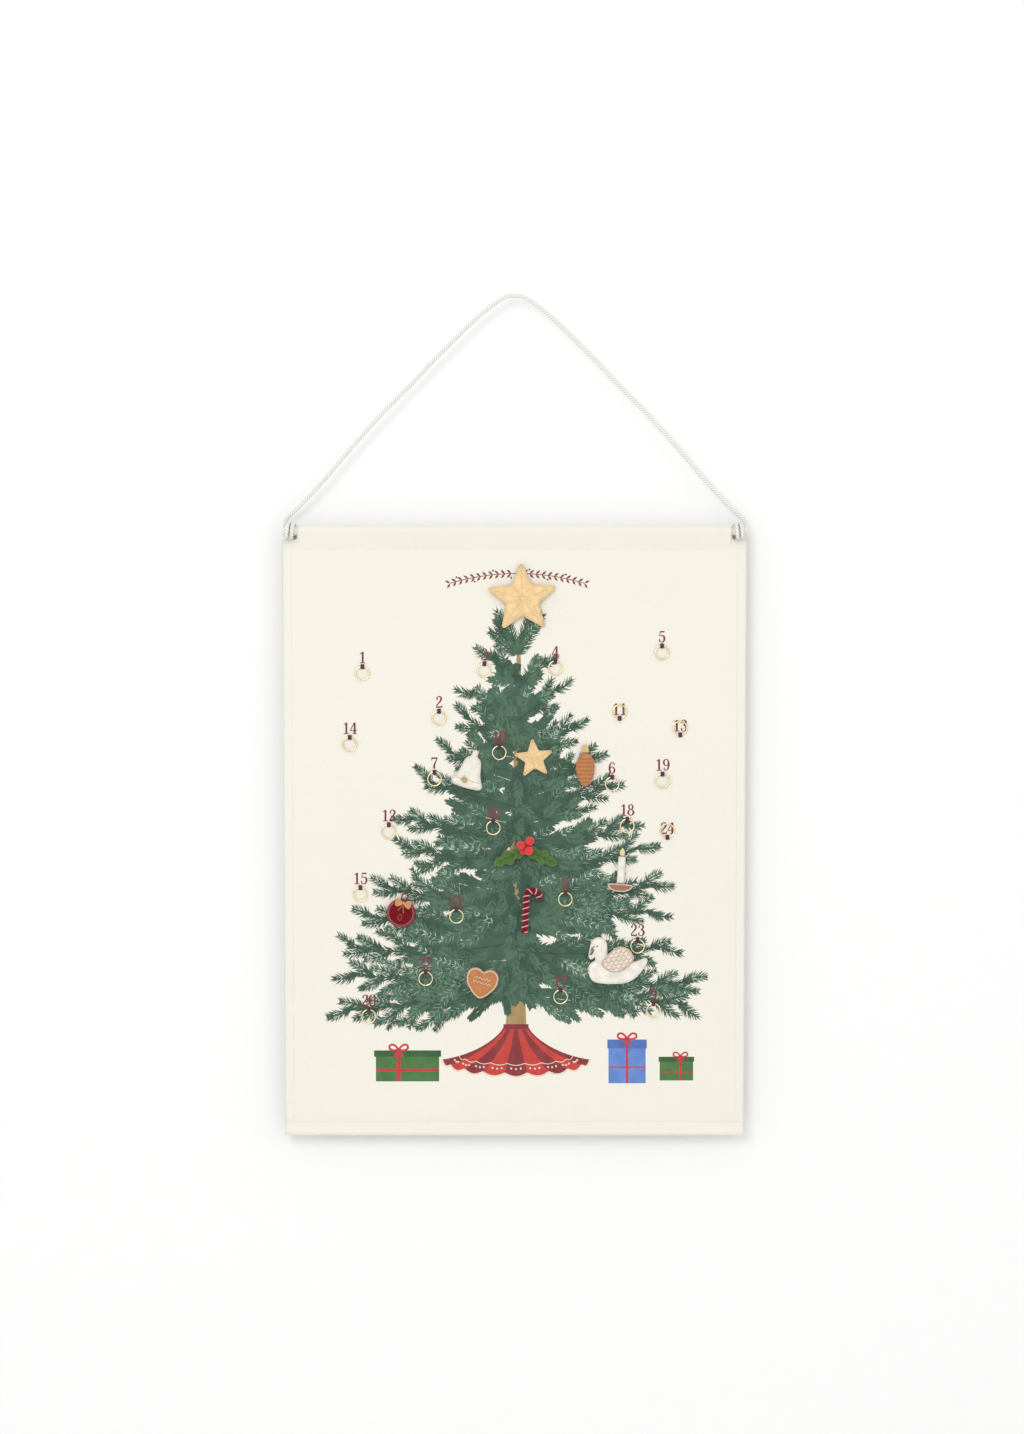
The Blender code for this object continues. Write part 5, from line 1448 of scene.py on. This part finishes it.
for word, side in (("left", -1), ("right", 1)):
    leaf_pad = Pad(rounded(drooped(leaf_flat, side)[::-side], 0.0024, 4), side=0.0014, crown=0.0010, reach=0.0022,
                   spacing=0.0008)
    holly.felt(f"holly_leaf_{word}_felt", leaf_pad.form(), leaf_felt, "felt_leaf", f"holly_leaf_{word}")
    ribs = [[(0.0030, 0), (0.0190, 0.0004), (0.0350, 0)]]
    ribs += [[(at, 0), (at + 0.0035, reach * 0.5), (at + 0.0052, reach)] for at in (0.0065, 0.0135, 0.0210, 0.0275)
             for reach in (-0.0044, 0.0044)]
    for rib in ribs:
        piping(veins, leaf_pad, drooped(rib, side), 0.00028, sides=6)
holly.sewn("holly_veins", veins, leaf_thread, "felt_leaf")
berry_felt = felt("felt_berry", tone(232, 46, 52), depth=0.00012, fuzz=0.2)
berries = Form()
berry_back = ORNAMENT_BACK - 0.0014 - 0.0010 - SEAT
down, round_ = np.linspace(0, math.pi, 17), around(28)
ball = np.stack([np.sin(down)[:, None] * np.cos(round_), np.sin(down)[:, None] * np.sin(round_),
                 np.cos(down)[:, None] + 0 * round_], axis=-1) * 0.0045
for berry in range(3):
    angle = math.radians(55) + TURN * berry / 3
    centre = np.array((0.0010 + 0.0062 * math.cos(angle), berry_back - 0.0045, 0.0039 + 0.0062 * math.sin(angle)))
    berries.grid((ball + centre)[::-1], round_columns=True)
berry_pad = Pad(ellipse(0.015, 0.015, 50, 0, 0.0015), side=0.0006, crown=0.0006, reach=0.0010, back=berry_back,
                spacing=0.0009)
berries.join(berry_pad.form())
holly.felt("holly_berry_balls", berries, berry_felt, "felt_berry", "holly_berries")

# %% [markdown]
# ### Candy cane and bauble
# The cane is a soft tube with a pale cord wound round it. Its winding turns about the tube's own centre line.

# %% Candy cane
cane_felt = felt("felt_cane", tone(124, 10, 28), fuzz=0.08, gloss=0.2)
candy_cane = Ornament("candy_cane", 3)
CANE_R, HOOK_R, HOOK_Z = 0.0035, 0.0068, 0.0188
TWIST_PITCH, TWIST_R = 0.0066, 0.00312
cane_y = ORNAMENT_BACK - CANE_R
bend = np.linspace(0, math.radians(200), 40)
stem = np.column_stack([np.zeros(30), np.full(30, cane_y), np.linspace(-0.0215, HOOK_Z, 30, endpoint=False)])
hook = np.column_stack([HOOK_R * (1 - np.cos(bend)), np.full(40, cane_y), HOOK_Z + HOOK_R * np.sin(bend)])
cane_path = evenly(np.vstack([stem, hook]), 0.0008)
along = run_along(cane_path)
end_near = np.minimum(along, along[-1] - along)
cane_radius = CANE_R * (0.6 + 0.4 * np.sqrt(1 - (1 - np.clip(end_near / 0.0018, 0, 1)) ** 2))
cane = Form()
tube(cane, cane_path, cane_radius, sides=28, facing=(0, 1, 0))
cane_piece = candy_cane.felt("candy_cane_felt", cane, cane_felt, "felt_cane", "candy_cane")
cane_line = evenly(cane_path, 0.0003)
run = run_along(cane_line)
ahead = unit(np.gradient(cane_line, axis=0))
side = unit(np.cross(ahead, (0, 1, 0)))
front = np.cross(side, ahead)
for_turn = -run * TURN / TWIST_PITCH
wound = cane_line + (np.cos(for_turn)[:, None] * side + np.sin(for_turn)[:, None] * front) * TWIST_R
keep = (run > 0.0015) & (run < run[-1] - 0.0015)
stripe = Form()
tube(stripe, wound[keep], 0.00074, sides=8)
candy_cane.sewn("candy_cane_twist", stripe, thread("cane_cord", tone(234, 196, 194), twist=900.0),
                "felt_cane")

# %% Bauble
wine_felt = felt("felt_wine", tone(120, 8, 20), fuzz=0.04, gloss=0.2)
bauble = Ornament("bauble", 14, -0.0015)
bauble_pad = Pad(ellipse(0.0305, 0.0305, 120), reach=0.0055)
bauble.stuffed("bauble_felt", bauble_pad, wine_felt, "felt_wine", "bauble_body")
sewn = Form()
edge_stitches(sewn, bauble_pad, 0.0015, 0.0012, 0.0022, 0.0007)
piping(sewn, bauble_pad, inset(bauble_pad.outline, 0.0022, 0.0010), 0.00040, closed=True, smooth=False)
for side in (-1, 1):
    petal = np.array([(0, -0.0085), (0.0020, -0.0052), (0.0012, -0.0022), (0, -0.0012)]) * [side, 1]
    piping(sewn, bauble_pad, petal, 0.00030, sides=6)
bauble.sewn("bauble_stitches", sewn, thread("rose_thread", tone(190, 100, 108)),
            "felt_wine")
bow_shares = [(0, -.22), (.35, -.75), (.85, -1), (1, -.3), (1, .4), (.8, 1), (.35, .7), (0, .26), (-.35, .7),
              (-.8, 1), (-1, .4), (-1, -.3), (-.85, -1), (-.35, -.75)]
BOW_Z = 0.0112
bow_back = ORNAMENT_BACK - PAD_THICK - SEAT
bow_pad = Pad(soft_outline(bow_shares, 0.0086, 0.0045, up=0.0106), side=0.0008, crown=0.0012, reach=0.0018,
              back=bow_back, spacing=0.0005)
bow = bow_pad.form()
loop_turn = around(60)
hoop = np.column_stack([0.0032 * np.cos(loop_turn), np.full(60, bow_back - 0.0008),
                        BOW_Z + 0.0060 + 0.0053 * np.sin(loop_turn)])
red_loop = Form()
tube(red_loop, hoop, 0.0008, sides=10, closed=True)
bauble.sewn("bauble_loop_cord", red_loop, thread("wine_cord", tone(130, 28, 38), twist=900.0),
            "felt_wine")
knot = Pad(ellipse(0.0026, 0.0034, 24, 0, BOW_Z), side=0.0010, crown=0.0014, reach=0.0012, back=bow_back,
           spacing=0.0004).form()
bow.join(knot)
bauble.felt("bauble_bow_felt", bow, felt("felt_bow", tone(214, 154, 88)), "felt_gilt", "bauble_bow")
tails = Form()
for tail in ([(-0.0004, 0.0086), (-0.0018, 0.0056), (-0.0038, 0.0020)],
             [(0.0004, 0.0086), (0.0012, 0.0050), (0.0026, 0.0006)]):
    piping(tails, bauble_pad, tail, 0.00042, sides=6)
bauble.sewn("bauble_bow_tails", tails, thread("bow_thread", tone(206, 148, 88), shine=0.4),
            "felt_gilt")

# %% [markdown]
# ### Heart, swan and candle
# Thick cord edges the heart like icing, and wavy lines lie inside it. The swan's wing carries rows of feather
# stitches. The candle's dish has a pale rim.

# %% Heart
heart = Ornament("heart", 10)
heart_side = [(.20, .87), (.46, .94), (.76, .83), (.95, .54), (.97, .16), (.86, -.20), (.62, -.56), (.32, -.87)]
heart_shares = [(0, .74)] + mirrored(heart_side) + [(0, -1.03)] + heart_side[::-1]
heart_pad = Pad(soft_outline(heart_shares, 0.01775, 0.0165), reach=0.0058)
heart.stuffed("heart_felt", heart_pad, brown_felt, "felt_brown", "heart_body")
icing = Form()
icing_line = inset(heart_pad.outline, 0.0014, 0.0012)
piping(icing, heart_pad, smooth_path(icing_line[::2], 4, closed=True), 0.00075, closed=True, smooth=False)
for low_x, high_x, rise in ((-0.0088, 0.0088, 0.0048), (-0.0100, 0.0100, 0.0002)):
    x = np.linspace(low_x, high_x, 60)
    piping(icing, heart_pad, np.column_stack([x, rise - 0.12 * x + 0.0008 * np.sin(x * TURN / 0.0036)]), 0.00045,
           smooth=False)
heart.sewn("heart_icing", icing, thread("icing_cord", tone(240, 216, 188), twist=900.0), "felt_brown")

# %% Swan
swan = Ornament("swan", 0, 0.010)
swan_shares = [(.04, .12), (.11, .035), (.24, 0), (.44, -.005), (.62, .01), (.75, .08), (.86, .20), (.96, .37),
               (1, .48), (.985, .54), (.93, .54), (.80, .48), (.62, .47), (.47, .48), (.38, .50), (.335, .56),
               (.325, .70), (.32, .84), (.28, .94), (.185, .995), (.10, .96), (.05, .87), (.025, .72), (.01, .60),
               (.035, .525), (.085, .53), (.115, .57), (.115, .50), (.05, .44), (.01, .35), (.008, .24)]
swan_pad = Pad(soft_outline(swan_shares, 0.0640, 0.0500, -0.032, -0.025), crown=0.0016, reach=0.0026)
swan.stuffed("swan_felt", swan_pad, ivory_felt, "felt_ivory", "swan_body")
sewn = Form()
edge_stitches(sewn, swan_pad, 0.0020, 0.0010, 0.0014, 0.00045)
swan.sewn("swan_stitches", sewn, ivory_thread, "felt_ivory")
beak = Form()
face = [[(-0.0302, 0.0060), (-0.0282, 0.0088), (-0.0262, 0.0124)],
        [(-0.0286, 0.0058), (-0.0268, 0.0084), (-0.0256, 0.0114)],
        [(-0.0292, 0.0100), (-0.0272, 0.0134), (-0.0254, 0.0150)],
        [(-0.0230, 0.0150), (-0.0222, 0.0156), (-0.0214, 0.0150)]]
for stroke, thick in zip(face, (0.00070, 0.00055, 0.00060, 0.00055)):
    piping(beak, swan_pad, stroke, thick)
swan.sewn("swan_beak_and_eye", beak, thread("grey_thread", tone(150, 132, 124), shine=0.6), "felt_ivory")
wing_shares = [(0, .34), (.12, .12), (.34, 0), (.58, .02), (.80, .18), (1, .50), (.97, .70), (.86, .90),
               (.66, 1), (.46, .96), (.30, .80), (.12, .58)]
WING_LONG, WING_X = 0.0350, -0.0180
wing_pad = Pad(soft_outline(wing_shares, WING_LONG, 0.0270, WING_X, -0.0124), side=0.0008, crown=0.0014,
               reach=0.0030, back=ORNAMENT_BACK - 0.0036 - SEAT, spacing=0.0008)
swan.felt("swan_wing_felt", wing_pad.form(), felt("felt_wing", tone(244, 230, 212)), "felt_wing", "swan_wing")
feathers = Form()
for row in range(6):
    sweep = np.linspace(0.03, 0.99, 90)
    rise = -0.0090 + 0.0041 * row + 0.0050 * sweep
    x = WING_X + sweep * WING_LONG
    scallop = 0.0028 * np.abs(np.sin(sweep * math.pi * 6.5 + row * math.pi / 2))
    flat = np.column_stack([x, rise - scallop])
    flat = flat[inside(flat, inset(wing_pad.outline, 0.0012, 0.0010))]
    if len(flat) > 6:
        piping(feathers, wing_pad, flat, 0.00028, smooth=False)
piping(feathers, wing_pad, inset(wing_pad.outline, 0.0009, 0.0008), 0.00030, closed=True, smooth=False)
swan.sewn("swan_feather_stitches", feathers, thread("feather_thread", tone(212, 172, 150), shine=0.6),
          "felt_wing")

# %% Candle
candle = Ornament("candle", 4)
STICK_HALF, STICK_TOP, FLAME_HALF = 0.0038, 0.0145, 0.0046
stick = rounded([(-STICK_HALF, -STICK_TOP), (STICK_HALF, -STICK_TOP), (STICK_HALF, STICK_TOP),
                 (-STICK_HALF, STICK_TOP)], 0.0012, 4)
stick_pad = Pad(stick, reach=0.0036, spacing=0.0008)
candle.stuffed("candle_stick_felt", stick_pad, ivory_felt, "felt_ivory", "candle_stick")
flame_turn = around(48)
flame = np.column_stack([0.0028 * np.sin(flame_turn) * np.sin(flame_turn / 2) / 0.7698,
                         STICK_TOP + SEAT + FLAME_HALF + FLAME_HALF * np.cos(flame_turn)])
flame_pad = Pad(flame[::-1], crown=THIN, reach=0.0020, spacing=0.0005)
candle.felt("candle_flame_felt", flame_pad.form(), felt("felt_flame", tone(238, 222, 158)), "felt_flame",
            "candle_flame")
dish_side = [(.45, -.01), (.80, -.04), (.98, -.20), (.93, -.44), (.70, -.76), (.38, -.95)]
dish_shares = [(0, 0)] + mirrored(dish_side) + [(0, -1)] + dish_side[::-1]
dish_pad = Pad(soft_outline(dish_shares, 0.0140, 0.0088, up=-STICK_TOP - SEAT), reach=0.0036, spacing=0.0008)
candle.stuffed("candle_dish_felt", dish_pad, felt("felt_dish", tone(170, 112, 86)), "felt_dish", "candle_dish")
rim = Form()
piping(rim, dish_pad, smooth_path(inset(dish_pad.outline, 0.0009, 0.0010)[::2], 4, closed=True), 0.00060, closed=True,
       smooth=False)
candle.sewn("candle_dish_rim", rim, thread("rim_cord", tone(240, 226, 212), twist=900.0), "felt_dish")
